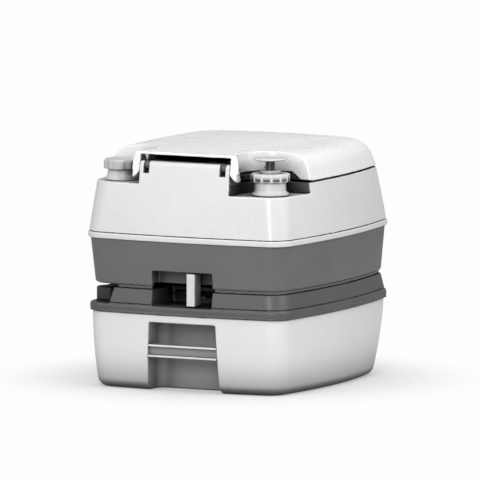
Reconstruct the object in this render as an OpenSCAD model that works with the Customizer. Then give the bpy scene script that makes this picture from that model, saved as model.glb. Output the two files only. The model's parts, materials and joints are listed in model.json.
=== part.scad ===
/* [Overall] */
// Width across the waist, side to side
width = 380; // [340:1:456]
// Depth at the waist, hinge side to front
depth = 413; // [360:1:496]
// Outward curve of the two long sides
side_bow = 19; // [10:1:24]
// Outward curve of the hinge face and the front face
face_bow = 11.5; // [6:0.5:16]
// Radius of the upright corners
corner_r = 23; // [16:1:30]
// Wall of the tanks and covers
wall = 3; // [2.4:0.1:3.6]

/* [Waste tank] */
// Height of the tank shell up to the lip of its deck
tank_h = 122; // [104:1:147]
// Radius of the edge around the floor
tank_edge_r = 14; // [8:1:18]
// How far the sides lean in towards the floor
tank_taper = 7.6; // [4:0.2:10]
// How far the front leans back to make room for feet
toe_room = 21; // [10:1:26]
// Step from the waist line in to the top of the tank shell
tank_step = 2.5; // [1:0.1:4]
// Height of the rounded lip
lip_h = 14.5; // [10:0.5:18]
// Height of the neck above the lip
neck_h = 24; // [20:0.5:29]
// Shadow gap between the two tanks
seam_gap = 5; // [3:0.5:8]

/* [Grip and valve recesses] */
// Width of the grip recess at its top
grip_w = 116; // [96:1:134]
// Height of the grip recess above the floor
grip_h = 109.5; // [91:0.5:114]
// Depth of the grip recess from the waist line
grip_d = 54; // [44:1:65]
// Height of the grip bar
bar_h = 20; // [16:1:24]
// Height of the lower edge of the grip bar above the floor
bar_z = 54; // [44:1:64]
// Width of the valve recess
valve_w = 106; // [100:1:126]
// Depth of the valve recess in the upper tank, from the waist line
valve_d = 30; // [24:1:34]
// Height of the valve recess in the upper tank
valve_h = 25.7; // [21:0.1:30]
// Radius of the waste opening
outlet_r = 38; // [32:1:40]
// Thickness of the sliding blade
blade_t = 4; // [3:0.1:5]
// Height of the pull on the blade
pull_h = 51.5; // [44:0.5:52]
// Sideways place of the pull
pull_x = 16; // [-30:1:30]

/* [Upper tank] */
// Height of the grey half
base_h = 73; // [61:1:88]
// Height of the bead around the waist
bead_h = 9.2; // [7:0.1:11]
// How far the bead stands out
bead_out = 3; // [1.5:0.1:4]
// Height of the white half above the bead
shell_h = 84.3; // [72:0.1:100]
// How far the white half leans in at its top
shell_taper = 10.3; // [6:0.1:13]
// Half width of the bowl opening
bowl_rx = 130; // [108:1:140]
// Half length of the bowl opening
bowl_ry = 143; // [120:1:150]
// Distance of the bowl centre in front of the middle
bowl_y = 22; // [12:1:28]

/* [Lid and seat] */
// Gap between the upper tank and the lid
lid_gap = 4; // [3:0.5:6]
// Height of the lid
lid_h = 45.7; // [42:0.1:54]
// Half width of the hinge panel
panel_x = 79; // [66:1:84]
// Thickness of the seat
seat_t = 12.5; // [10:0.5:14]
// Radius of the hinge pins
hinge_r = 3; // [2.5:0.1:3.6]

/* [Pump and filler] */
// Distance of the pump and the filler from the middle, sideways
corner_x = 130; // [124:1:136]
// Distance of the pump and the filler behind the middle
corner_y = 150; // [144:1:156]
// Radius of the pocket around the pump and the filler
pocket_r = 48; // [44:1:52]
// Depth of the filler pocket below the top of the tank
fill_drop = 4; // [2:0.5:8]
// Depth of the pump pocket below the top of the tank
pump_drop = 17; // [12:0.5:20]
// Radius of the filler cap
cap_r = 30.5; // [26:0.5:34]
// Radius of the pump's ring nut
nut_r = 31; // [26:0.5:34]
// Radius of the pump knob
knob_r = 28; // [24:0.5:32]
// Radius of the pump rod
rod_r = 7.5; // [5:0.5:8.5]
// Height of the pump knob above the gland
knob_lift = 15; // [12:1:18]
// Travel of the pump
pump_stroke = 55; // [40:1:60]

/* [Hidden] */

// Clearances: a sliding gap between bodies, and a running fit on a shaft
gap = 0.3;
run = 0.08;
// A cut runs this far past the face it opens
past = 1;
// Longer than any cut has to be
far = 60;

// Levels, from the floor up
lip_z = tank_h + lip_h;
deck_z = lip_z + neck_h;
base_z = deck_z + seam_gap;
under_z = base_z + 4.5;
waist_z = base_z + base_h;
bead_z = waist_z + bead_h;
shell_z = bead_z + shell_h;
lid_z = shell_z + lid_gap;
top_z = lid_z + lid_h;
panel_z = lid_z + 30.5;
hinge_z = lid_z + 21;
brow_z = panel_z + 8;
fill_z = shell_z - fill_drop;
pump_z = shell_z - pump_drop;
seat_z = shell_z + 2.5;

// Hinge axis, measured in from the hinge face at the waist
hinge_in = 25.7;
hinge_y = hinge_in - depth / 2;
panel_front = hinge_y + 13;
slot_in = panel_x - 17;
slot_out = panel_x - 7;
ear_w = 14.5;

// Roundness of the turned pieces
$fn = 64;

// ---------------------------------------------------------------- outline of the body

side_n = 3;
corner_n = 5;
face_n = 3;

function mix(a, b, t) = a + (b - a) * t;

function curve(p, q, r, s, t) =
    mix(mix(mix(p, q, t), mix(q, r, t), t), mix(mix(q, r, t), mix(r, s, t), t), t);

// One quarter of the plan, from the middle of a side to the middle of a face
function quarter(hx, hy) =
    let (
        ax = hx - side_bow,
        ay = hy - face_bow,
        yc = ay - corner_r,
        xc = ax - corner_r,
        start = [ax + side_bow * (1 - pow(yc / ay, 2)), yc],
        end = [xc, ay + face_bow * (1 - pow(xc / ax, 2))],
        lean_s = -2 * side_bow * yc / (ay * ay),
        lean_f = -2 * face_bow * xc / (ax * ax),
        mx = (start[0] + lean_s * (end[1] - lean_f * end[0] - start[1])) / (1 - lean_s * lean_f),
        meet = [mx, end[1] + lean_f * (mx - end[0])]
    )
    concat(
        [for (i = [0:side_n - 1])
            let (y = yc * i / side_n) [ax + side_bow * (1 - pow(y / ay, 2)), y]],
        [for (i = [0:corner_n])
            curve(start, mix(start, meet, 0.58), mix(end, meet, 0.58), end, i / corner_n)],
        [for (i = [face_n - 1:-1:1])
            let (x = xc * i / face_n) [x, ay + face_bow * (1 - pow(x / ax, 2))]]
    );

function backwards(list) = [for (i = [len(list) - 1:-1:0]) list[i]];
function flipped(list, sx, sy) = [for (p = list) [p[0] * sx, p[1] * sy]];

// The whole plan, set in from the waist line at the sides, the hinge face and the front
function plan(side, rear, front) =
    let (
        f = quarter(width / 2 - side, depth / 2 - front),
        r = quarter(width / 2 - side, depth / 2 - rear),
        fy = [[0, depth / 2 - front]],
        ry = [[0, depth / 2 - rear]],
        cut = [for (i = [1:len(r) - 1]) r[i]],
        cut_f = [for (i = [1:len(f) - 1]) f[i]]
    )
    concat(
        f, fy, flipped(backwards(cut_f), -1, 1),
        flipped(concat(r, ry), -1, -1), flipped(backwards(cut), 1, -1)
    );

function oval(rx, ry, n = 40) = [for (i = [0:n - 1]) [rx * cos(360 * i / n), ry * sin(360 * i / n)]];

// A closed solid through a stack of outlines: each row is [height, outline]
module loft(rows) {
    n = len(rows[0][1]);
    last = len(rows) - 1;
    points = [for (row = rows) for (p = row[1]) [p[0], p[1], row[0]]];
    walls = [for (k = [0:last - 1]) for (i = [0:n - 1])
        let (j = (i + 1) % n, a = k * n, b = (k + 1) * n)
        each [[a + i, b + i, b + j], [a + i, b + j, a + j]]];
    ends = [[for (i = [0:n - 1]) i], [for (i = [n - 1:-1:0]) last * n + i]];
    polyhedron(points, concat(walls, ends), convexity = 8);
}

module each_side() {
    for (s = [-1, 1]) scale_x(s) children();
}

module scale_x(s) {
    if (s < 0) mirror([1, 0, 0]) children();
    else children();
}

module ring(outer, inner, h) {
    difference() {
        cylinder(r = outer, h = h);
        translate([0, 0, -past]) cylinder(r = inner, h = h + 2 * past);
    }
}

// A box from one corner to the opposite one
module block(low, high) {
    translate(low) cube(high - low);
}

// ---------------------------------------------------------------- waste tank

function tank_lean(z) = tank_taper * pow(max(0, 1 - z / tank_h), 2);
function toe(z) = toe_room * pow(max(0, 1 - z / tank_h), 1.15);

// Outline of the tank shell at a height, o inside its outer skin
function tank_plan(z, o, edge) =
    let (t = tank_step + tank_lean(z) + o + edge)
    plan(t, t, t + toe(z));

function tank_rows(o, top) =
    let (r = tank_edge_r - o)
    concat(
        [for (a = [0, 30, 60, 90])
            let (z = tank_edge_r - r * cos(a)) [z, tank_plan(z, o, r * (1 - sin(a)))]],
        [for (f = [0.3, 0.55, 0.8]) [f * tank_h, tank_plan(f * tank_h, o, 0)]],
        [[top, tank_plan(tank_h, o, 0)]]
    );

grip_back = grip_d - depth / 2;
grip_r = 15;
grip_flare = 5;

// The grip recess, grown by g on every side
module grip_space(g = 0) {
    r = grip_r + g;
    hw = grip_w / 2 + g;
    difference() {
        translate([0, 0, -past]) linear_extrude(grip_h + g + past) {
            translate([-hw - grip_flare, -depth / 2 - far])
                square([2 * (hw + grip_flare), depth / 2 + grip_back + g + far - r]);
            translate([r - hw - grip_flare, -depth / 2])
                square([2 * (hw + grip_flare - r), depth / 2 + grip_back + g]);
            for (s = [-1, 1]) translate([s * (hw + grip_flare - r), grip_back + g - r]) circle(r);
        }
        each_side() grip_side_lean(hw);
    }
}

// The side walls of the recess lean in towards its top
module grip_side_lean(hw) {
    rotate([90, 0, 0]) translate([0, 0, -depth / 2]) linear_extrude(depth + 2 * far)
        polygon([[hw, tank_h], [hw + grip_flare, 0], [hw + far, 0], [hw + far, tank_h]]);
}

module waste_tank() color("whitesmoke") difference() {
    loft(tank_rows(0, tank_h));
    grip_space();
    difference() {
        loft(tank_rows(wall, tank_h + past));
        grip_space(wall);
    }
}

// A channel section across the recess: two flanges and a web set back between them
bar_in = 5.2;
bar_deep = 15;
flange = 3.2;

module carry_handle() color("whitesmoke") difference() {
    hw = grip_w / 2 + grip_flare;
    y = bar_in - depth / 2;
    union() {
        block([-hw, y, bar_z], [hw, y + bar_deep, bar_z + flange]);
        block([-hw, y, bar_z + bar_h - flange], [hw, y + bar_deep, bar_z + bar_h]);
        block([-hw, y + bar_deep - flange, bar_z], [hw, y + bar_deep, bar_z + bar_h]);
    }
    each_side() grip_side_lean(grip_w / 2 - gap / 3);
}

// ---------------------------------------------------------------- deck of the waste tank

lip_out = 0.8;
neck_foot = 1.6;
neck_in = 6;

function even(z, t) = [z, plan(t, t, t)];

function deck_rows(o, low, high) = [
    even(low, tank_step + o),
    even(tank_h + 3, o - lip_out),
    even(lip_z - 3, o - lip_out),
    even(lip_z - o / 3, o + neck_foot),
    even(high, o + neck_in)
];

cave_y = depth / 2 - 78.5;
cave_floor = lip_z - 1.5;

module cave_space(g = 0) {
    hw = valve_w / 2 + g;
    block([-hw, -depth / 2 - far, cave_floor - g], [hw, g - cave_y, deck_z + far]);
}

// Pour spout: it swings on an upright trunnion in the corner of the deck
spout_x = width / 2 - 40;
spout_y = depth / 2 - 47;
spout_r = 19;
spout_len = 78;
trunnion_r = 17;
spout_low = cave_floor + 1.5;
spout_high = deck_z - 2.5;
pocket_in = 23;

module spout_space(g = 0) {
    x = spout_x - pocket_in;
    y = spout_y - spout_len - 26;
    block([-width, -depth, cave_floor - g], [g - x, g - y, deck_z + far]);
}

// Valve box under the middle of the deck
box_x = outlet_r + 17;
box_front = outlet_r + 19;
box_low = deck_z - wall - 14.5;
outlet_y = 5;
slot_low = box_low + 5;
slot_h = blade_t + 2 * gap;
blade_x = outlet_r + 7;
seal_r = outlet_r + 8;

// Slot that the blade runs in, from the cave back to y
module slot_space(g, y) {
    hw = blade_x + g;
    block([-hw, -cave_y - past, slot_low - g / 3], [hw, y, slot_low + slot_h + g / 3]);
}

module at_outlet(z) {
    translate([0, outlet_y, z]) children();
}

screw_r = 2;
screw_head_r = 4;
screw_y = [-100, -30, 48];

module at_screws(z) {
    for (s = [-1, 1]) for (y = screw_y) translate([s * (box_x - 4.5), y, z]) children();
}

module tank_deck() color("dimgray") difference() {
    loft(deck_rows(0, tank_h, deck_z));
    difference() {
        loft(deck_rows(wall, tank_h - past, deck_z - wall));
        cave_space(wall);
        spout_space(wall);
    }
    cave_space();
    spout_space();
    at_outlet(deck_z - wall - past) cylinder(r = seal_r + 0.1, h = far);
    at_screws(deck_z - wall - past) cylinder(r = screw_r + 0.1, h = far);
    slot_space(2 * gap, wall - cave_y + past);
    translate([-spout_x, -spout_y, cave_floor - far]) cylinder(r = trunnion_r + gap, h = far + past);
}

module valve_body() color("dimgray") difference() {
    block([-box_x, wall - cave_y, box_low], [box_x, outlet_y + box_front, deck_z - wall]);
    slot_space(gap, outlet_y + box_front - 5);
    at_outlet(box_low - past) cylinder(r = outlet_r, h = far);
    at_outlet(slot_low + slot_h - past) cylinder(r = outlet_r + 5, h = 1.5 + past);
    at_screws(deck_z - wall - 11) cylinder(r = screw_r + 0.1, h = far);
}

module blade_seal() color("black")
    at_outlet(slot_low + slot_h) ring(outlet_r + 4.8, outlet_r, 1.4);

module outlet_seal() color("black")
    at_outlet(deck_z - wall) ring(seal_r, outlet_r, wall + seam_gap - 2);

module valve_screws() color("silver") at_screws(deck_z) {
    cylinder(r = screw_head_r, h = 2);
    translate([0, 0, -wall - 10]) cylinder(r = screw_r, h = wall + 10);
}

// The blade closes the opening at rest and leaves it clear after its full travel
blade_low = slot_low + gap;
blade_back = outlet_r + 8;
stem_x = 15;
pull_t = 14.3;
pull_deep = 23;
pull_out = 2.5;
pull_front = depth / 2 - 6 + pull_out;
pull_low = cave_floor + 2.5;
stem_y = cave_y + 14;

module valve_blade() color("whitesmoke") {
    top = blade_low + blade_t;
    block([-blade_x, -stem_y, blade_low], [blade_x, outlet_y + blade_back, top]);
    block([pull_x - stem_x, pull_deep - pull_front, blade_low], [pull_x + stem_x, -stem_y, top]);
}

module valve_pull() color("whitesmoke") {
    low = [pull_x - pull_t / 2, -pull_front, pull_low];
    block(low, low + [pull_t, pull_deep, pull_h]);
}

module at_spout(z) {
    translate([-spout_x, -spout_y, z]) children();
}

spout_wall = 2.4;

// Flat-sided duct with round edges, running forward from the trunnion
module spout_shape(inset, start, end) {
    half = (spout_high - spout_low) / 2 - inset;
    mid = (spout_high + spout_low) / 2;
    w = spout_r - inset - half;
    translate([0, start, mid]) rotate([-90, 0, 0]) linear_extrude(end - start) {
        square([2 * w, 2 * half], center = true);
        for (s = [-1, 1]) translate([s * w, 0]) circle(half);
    }
}

trunnion_low = cave_floor - wall - 7;

module pour_spout() color("dimgray") translate([-spout_x, -spout_y, 0]) difference() {
    union() {
        spout_shape(0, 0, spout_len);
        translate([0, 0, spout_low]) cylinder(r = spout_r, h = spout_high - spout_low);
        translate([0, 0, trunnion_low]) cylinder(r = trunnion_r, h = spout_low - trunnion_low + past);
    }
    spout_shape(spout_wall, 0, spout_len + past);
    translate([0, 0, trunnion_low - past])
        cylinder(r = trunnion_r - spout_wall, h = spout_high - trunnion_low - spout_wall + past);
}

module spout_ring() color("black")
    at_spout(cave_floor) ring(trunnion_r + 3, trunnion_r + gap, 1.2);

module spout_retainer() color("dimgray")
    at_spout(trunnion_low) ring(trunnion_r + 5, trunnion_r + run / 2, 6.6);

module spout_cap() color("dimgray") translate([-spout_x, -spout_y, 0]) {
    spout_shape(0, spout_len + gap, spout_len + 5);
    spout_shape(spout_wall + gap, spout_len - 7, spout_len + gap + 0.1);
}

// ---------------------------------------------------------------- grey half of the upper tank

base_in = 6;
base_chamfer = 4;

function base_t(z) = base_in * (1 - (z - base_z) / base_h);
function base_f(z) = 3.5 * (z - base_z) / base_h;

function base_row(z, o, more = 0) =
    let (t = base_t(z) + o + more) [z, plan(t, t, t + base_f(z))];

recess_y = depth / 2 - valve_d;
recess_z = base_z + valve_h;

module recess_space(g = 0) {
    half = valve_w / 2 + g;
    block([-half, -depth / 2 - far, base_z - past], [half, -recess_y + g, recess_z + g]);
}

rest_pad = 4.2;

module flush_base() color("dimgray") {
    difference() {
        loft([base_row(base_z, 0, base_chamfer), base_row(base_z + 3, 0), base_row(waist_z - 0.6, 0)]);
        difference() {
            loft([base_row(under_z + wall, wall), base_row(waist_z + past, wall)]);
            recess_space(wall);
        }
        loft([base_row(base_z - past, 2 * wall), base_row(under_z, 2 * wall)]);
        recess_space();
        at_outlet(base_z - past) cylinder(r = outlet_r + 5.1, h = far);
    }
    for (s = [-1, 1]) for (y = [-100, 120])
        translate([s * 120, y, deck_z + gap]) cylinder(r = 10, h = under_z - deck_z - gap);
}

module waist_gasket() color("black") difference() {
    loft([base_row(waist_z - 0.6, 0.4), [waist_z, base_row(waist_z - 0.6, 0.4)[1]]]);
    loft([base_row(waist_z - 0.6 - past, wall - 0.2), base_row(waist_z + past, wall - 0.2)]);
}

// ---------------------------------------------------------------- white half of the upper tank

function shell_t(z) =
    let (f = max(0, (z - bead_z) / shell_h)) shell_taper * pow(f, 1.1) - 1.5;
function shell_f(z) =
    let (f = max(0, (z - bead_z) / shell_h)) 4 + 6 * pow(f, 1.5);

function shell_row(z, o) =
    let (t = shell_t(z) + o) [z, plan(t, t, t + shell_f(z))];

function bead_row(z, out, o = 0) = [z, plan(o - out, o - out, o - out + 4)];

module shell_outer() loft([
    bead_row(waist_z, bead_out - 1),
    bead_row(waist_z + 1, bead_out),
    bead_row(bead_z - 1.5, bead_out),
    shell_row(bead_z, 0),
    shell_row(mix(bead_z, shell_z, 0.33), 0),
    shell_row(mix(bead_z, shell_z, 0.66), 0),
    shell_row(shell_z, 0)
]);

module shell_inner() loft([
    bead_row(waist_z - past, 0, wall),
    shell_row(bead_z, wall),
    shell_row(mix(bead_z, shell_z, 0.33), wall),
    shell_row(mix(bead_z, shell_z, 0.66), wall),
    shell_row(shell_z - wall, wall)
]);

// The corner pocket around the pump or the filler, open to the corner of the tank
module pocket_plan(g = 0) {
    r = pocket_r + g;
    translate([corner_x, -corner_y]) circle(r);
    translate([corner_x, -depth]) square([width, depth - corner_y + r]);
    translate([corner_x - r, -depth]) square([width, depth - corner_y]);
}

module pockets(g = 0) {
    translate([0, 0, pump_z - g]) linear_extrude(far + far) pocket_plan(g);
    translate([0, 0, fill_z - g]) linear_extrude(far + far) mirror([1, 0]) pocket_plan(g);
}

// Upright wall between the two pockets that carries the hinge, rooted in the shell below them
panel_low = fill_z - 1.5;
panel_in = 0.4;

module panel_body(o) {
    intersection() {
        loft([shell_row(panel_low - past, o + panel_in), shell_row(panel_z - o, o + panel_in)]);
        block([o - panel_x, -depth, panel_low], [panel_x - o, panel_front - o, panel_z - o]);
    }
}

module pin_bore(r) {
    translate([-width, hinge_y, hinge_z]) rotate([0, 90, 0]) cylinder(r = r, h = 2 * width);
}

module hinge_slots() {
    front = panel_front + past;
    each_side() block([slot_in, -depth, hinge_z - 12.5], [slot_out, front, panel_z + past]);
}

module bowl_hole(g, z, h) {
    translate([0, bowl_y, z]) linear_extrude(h) polygon(oval(bowl_rx + g, bowl_ry + g));
}

barrel_r = 17;

// Skin, pocket floors and top plate before they are parted into shell and deck
module shell_blank() {
    difference() {
        shell_outer();
        difference() {
            shell_inner();
            pockets(wall);
        }
        pockets();
    }
}

// Inside the skin: the top plate and the walls that drop from it to the pocket floors
module deck_zone() {
    intersection() {
        loft([shell_row(pump_z - past, wall), shell_row(shell_z + past, wall)]);
        union() {
            block([-width, panel_front, shell_z - wall], [width, depth, shell_z + past]);
            each_side() block([panel_x, -depth, shell_z - wall], [width, depth, shell_z + past]);
            translate([0, 0, pump_z]) linear_extrude(far) pocket_plan(wall);
            translate([0, 0, fill_z]) linear_extrude(far) mirror([1, 0]) pocket_plan(wall);
        }
    }
}

module seat_deck() color("dimgray") difference() {
    intersection() {
        shell_blank();
        deck_zone();
    }
    bowl_hole(gap, shell_z - wall - past, far);
}

module upper_shell() color("whitesmoke") difference() {
    union() {
        difference() {
            shell_blank();
            deck_zone();
        }
        difference() {
            panel_body(0);
            difference() {
                panel_body(wall);
                each_side() block([slot_in - 5, -depth, shell_z], [panel_x, 0, panel_z]);
            }
        }
    }
    hinge_slots();
    pin_bore(hinge_r + 0.02);
    translate([corner_x, -corner_y, pump_z - far]) cylinder(r = barrel_r + 0.2, h = far + past);
    translate([-corner_x, -corner_y, fill_z - far]) cylinder(r = cap_r - 11.5, h = far + past);
}

// ---------------------------------------------------------------- bowl and its flush

bowl_low = under_z + 10;

function bowl_swell(u) = 1 - pow(1 - u, 2);

function bowl_row(u, o) =
    let (
        z = mix(bowl_low, shell_z + 0.5, u),
        rx = mix(outlet_r + 5, bowl_rx, bowl_swell(u)) - o,
        ry = mix(outlet_r + 5, bowl_ry, bowl_swell(u)) - o,
        cy = mix(outlet_y, bowl_y, u)
    )
    [z, [for (p = oval(rx, ry)) [p[0], p[1] + cy]]];

bowl_steps = [0, 0.1, 0.22, 0.38, 0.58, 0.8, 1];
bowl_wall = 3;

module bowl() color("white") difference() {
    union() {
        loft([for (u = bowl_steps) bowl_row(u, 0)]);
        bowl_hole(6, shell_z, 1.8);
    }
    loft(concat(
        [[bowl_low - past, bowl_row(0, 5)[1]]],
        [bowl_row(0.02, 4.6)],
        [for (i = [1:len(bowl_steps) - 1]) bowl_row(bowl_steps[i], bowl_wall)],
        [[shell_z + 5, bowl_row(1, bowl_wall)[1]]]
    ));
    nozzle_axis() cylinder(r = nozzle_r + 0.1, h = 2 * far, center = true);
}

throat_low = base_z - 1.7;

module bowl_outlet() color("white")
    at_outlet(throat_low) ring(outlet_r + 5, outlet_r, bowl_low - throat_low);

// The flush line runs from the pump to the rim of the bowl
nozzle_r = 5;
flush_z = shell_z - 32;
nozzle_a = 313;
nozzle_p = [
    (bowl_rx - 8) * cos(nozzle_a),
    bowl_y + (bowl_ry - 8) * sin(nozzle_a)
];
flush_turn = atan2(-corner_y - nozzle_p[1], corner_x - nozzle_p[0]);
flush_run = norm([corner_x - nozzle_p[0], -corner_y - nozzle_p[1]]) - barrel_r;

// Origin at the bowl wall, +Z towards the pump
module nozzle_axis() {
    translate([nozzle_p[0], nozzle_p[1], flush_z]) rotate([0, 90, flush_turn]) children();
}

module flush_nozzle() color("white") nozzle_axis() difference() {
    union() {
        translate([0, 0, -9]) cylinder(r = nozzle_r, h = 24);
        translate([0, 0, 10]) cylinder(r = nozzle_r + 1.5, h = 3);
    }
    translate([0, 0, -6]) cylinder(r = nozzle_r - 1.5, h = 30);
    translate([nozzle_r, 0, -4.5]) rotate([0, 90, 0]) cylinder(r = 1.6, h = 12, center = true);
}

module flush_hose() color("dimgray") nozzle_axis()
    translate([0, 0, 15]) ring(nozzle_r, nozzle_r - 1.5, flush_run - 15);

// ---------------------------------------------------------------- filler

neck_top = fill_z + 17;
thread_z = neck_top + 10;
thread_r = cap_r - 8.5;
cap_h = 16;

module at_fill(z) {
    translate([-corner_x, -corner_y, z]) children();
}

module fill_neck() color("whitesmoke") at_fill(0) difference() {
    union() {
        translate([0, 0, fill_z]) cylinder(r1 = thread_r + 4, r2 = thread_r + 0.5, h = neck_top - fill_z);
        translate([0, 0, neck_top]) cylinder(r = thread_r, h = thread_z - neck_top);
        translate([0, 0, fill_z - wall - 4]) cylinder(r = cap_r - 11.6, h = wall + 4 + past);
    }
    translate([0, 0, fill_z - wall - 5]) cylinder(r = cap_r - 14, h = far);
}

module fill_gasket() color("black")
    at_fill(thread_z + gap) ring(thread_r - 0.2, cap_r - 14, 1.4);

// A round cap with shallow hollows around its rim
module lobed(r, h, count, groove_r, depth_in) {
    difference() {
        cylinder(r = r, h = h);
        for (i = [0:count - 1]) rotate([0, 0, 360 * (i + 0.5) / count])
            translate([r + groove_r - depth_in, 0, -past])
                cylinder(r = groove_r, h = h + 2 * past, $fn = 24);
    }
}

module fill_cap() color("whitesmoke") at_fill(neck_top + gap) difference() {
    lobed(cap_r, cap_h, 10, 4, 1.2);
    translate([0, 0, -past]) cylinder(r = thread_r + gap, h = thread_z + 2 - neck_top + past);
}

// ---------------------------------------------------------------- pump

collar_top = pump_z + 21.4;
nut_top = collar_top + 13.6;
gland_low = collar_top + 3.6;
gland_top = nut_top + 5;
gland_r = 16.5;
knob_z = gland_top + knob_lift;
barrel_low = under_z + wall + 12;
piston_z = barrel_low + 30;
knob_t = 5;

module at_pump(z) {
    translate([corner_x, -corner_y, z]) children();
}

module pump_collar() color("whitesmoke") {
    at_pump(pump_z) ring(nut_r - 1, barrel_r + 0.1, 5);
    at_pump(pump_z + 5) ring(nut_r - 5.8, barrel_r + 0.1, collar_top - pump_z - 5);
}

module pump_barrel() color("lightgray") difference() {
    at_pump(barrel_low) ring(barrel_r, barrel_r - 2, gland_low - barrel_low);
    nozzle_axis() translate([0, 0, flush_run - 3]) cylinder(r = nozzle_r - 1.5, h = 10);
}

module pump_nut() color("whitesmoke") at_pump(collar_top) difference() {
    lobed(nut_r, nut_top - collar_top, 12, 3, 1.5);
    translate([0, 0, -past]) cylinder(r = barrel_r + 0.1, h = gland_low - collar_top + past + 1);
    translate([0, 0, -past]) cylinder(r = gland_r + 0.1, h = far);
}

module pump_gland() color("whitesmoke")
    at_pump(gland_low) ring(gland_r, rod_r + run, gland_top - gland_low);

module foot_valve() color("lightgray")
    at_pump(barrel_low) ring(barrel_r - 2.1, 4, 4);

ball_r = 5.5;

module check_ball() color("silver")
    at_pump(barrel_low + 4 + sqrt(ball_r * ball_r - 16) + gap) sphere(r = ball_r);

module pump_rod() color("lightgray")
    at_pump(piston_z + 10) cylinder(r = rod_r, h = knob_z - piston_z - 10);

module pump_knob() color("whitesmoke") at_pump(knob_z) {
    cylinder(r1 = knob_r - 2.5, r2 = knob_r, h = 1.8);
    translate([0, 0, 1.8]) cylinder(r = knob_r, h = 1.6);
    translate([0, 0, 3.4]) cylinder(r1 = knob_r, r2 = knob_r - 3, h = knob_t - 3.4);
}

module pump_piston() color("lightgray") at_pump(piston_z) difference() {
    cylinder(r = barrel_r - 2.4, h = 10);
    translate([0, 0, 3]) ring(barrel_r, barrel_r - 4.5, 4);
}

module piston_seal() color("black")
    at_pump(piston_z + 3.1) ring(barrel_r - 2.08, barrel_r - 4.4, 3.8);

// ---------------------------------------------------------------- hinge, seat and lid

pin_in = slot_in - 4;
pin_out = panel_x + ear_w - 2;

module hinge_pins() color("silver") each_side()
    translate([pin_in, hinge_y, hinge_z]) rotate([0, 90, 0]) cylinder(r = hinge_r, h = pin_out - pin_in);

// Space between the seat or the lid's lower edge and the pockets
seat_clear = 4;
seat_in = 18;
seat_back = 50.5;
seat_rx = bowl_rx - 18;
seat_ry = bowl_ry - 18;
arm_r = 8;
arm_gap = 0.5;

module seat_arm() {
    arm_w = slot_out - slot_in - 2 * arm_gap;
    translate([slot_in + arm_gap, 0, 0]) rotate([90, 0, 90]) linear_extrude(arm_w)
        polygon([
            [hinge_y - 3, hinge_z - 7.3], [hinge_y + 13, hinge_z - 10], [seat_back - depth / 2, seat_z + 2],
            [seat_back - depth / 2 + 8, seat_z + 2], [seat_back - depth / 2 + 8, seat_z + seat_t],
            [hinge_y + 18, hinge_z - 3], [hinge_y + 6, hinge_z + 5.3]
        ]);
    translate([slot_in + arm_gap, hinge_y, hinge_z]) rotate([0, 90, 0])
        cylinder(r = arm_r, h = slot_out - slot_in - 2 * arm_gap);
}

module seat() color("dimgray") difference() {
    union() {
        difference() {
            translate([0, 0, seat_z]) linear_extrude(seat_t) polygon(plan(seat_in, seat_in, seat_in + 9.5));
            block([-width, -depth, 0], [width, seat_back - depth / 2, top_z]);
            each_side() translate([0, 0, seat_z - past]) linear_extrude(far) pocket_plan(seat_clear);
            translate([0, bowl_y, seat_z - past]) linear_extrude(far) polygon(oval(seat_rx, seat_ry));
        }
        each_side() seat_arm();
    }
    pin_bore(hinge_r + run);
}

module seat_buffers() color("black") for (s = [-1, 1]) for (y = [-55, 75])
    translate([s * 152, y, shell_z + gap]) cylinder(r = 6, h = seat_z - shell_z - gap);

// Rows of the lid: [height above its lower edge, set in at the sides, at the back, at the front]
lid_rim = shell_t(shell_z) + 1.5;
lid_front = shell_f(shell_z);
lid_rows = [
    [0, 0, 0, 0], [7, 2, 1.8, 2], [14, 4.4, 3, 4.4], [21, 7.6, 4.4, 7.6], [27, 11, 5.4, 11],
    [32, 14.8, 6.2, 14.8], [36, 19.2, 6.7, 19.2], [39, 24.8, 7.1, 24.8], [41.4, 33, 8, 33]
];

function lid_plan(row, o) =
    plan(lid_rim + row[1] + o, lid_rim + row[2] + o, lid_rim + row[3] + o + lid_front);

function lid_crown(s, z) =
    [z, [for (p = lid_plan(lid_rows[len(lid_rows) - 1], 0)) p * s]];

crown = lid_h - 41.4;
roof_z = brow_z;

module lid_outer() loft(concat(
    [for (row = lid_rows) [lid_z + row[0], lid_plan(row, 0)]],
    [for (s = [0.85, 0.6, 0.3]) lid_crown(s, top_z - crown * s * s)]
));

module lid_inner() loft(concat(
    [[lid_z - past, lid_plan(lid_rows[0], wall)]],
    [for (i = [1, 3, 5]) [lid_z + lid_rows[i][0], lid_plan(lid_rows[i], wall)]],
    [[roof_z, lid_plan(lid_rows[6], wall + 3)]]
));

scoop_low = pocket_r - 2;
scoop_high = pocket_r + 7;
scoop_lip = 12;

// A flared scoop that clears the pump or the filler, and its opening to the corner
module scoop(g) {
    h = top_z - lid_z + 2 * past;
    at_pump(lid_z - past) cylinder(r1 = scoop_low + g, r2 = scoop_high + g, h = h);
    translate([0, 0, lid_z - past]) linear_extrude(h) {
        translate([corner_x, -depth]) square([width, depth - corner_y + scoop_low + g]);
        translate([corner_x - scoop_low - g + 9, -depth]) square([width, depth - corner_y]);
    }
}

// Space for the hinge panel, under the brow at the back of the lid
brow_d = 18;

module brow_space() {
    block([-panel_x - gap, -depth, lid_z - past], [panel_x + gap, hinge_y + brow_d, brow_z]);
}

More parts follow.
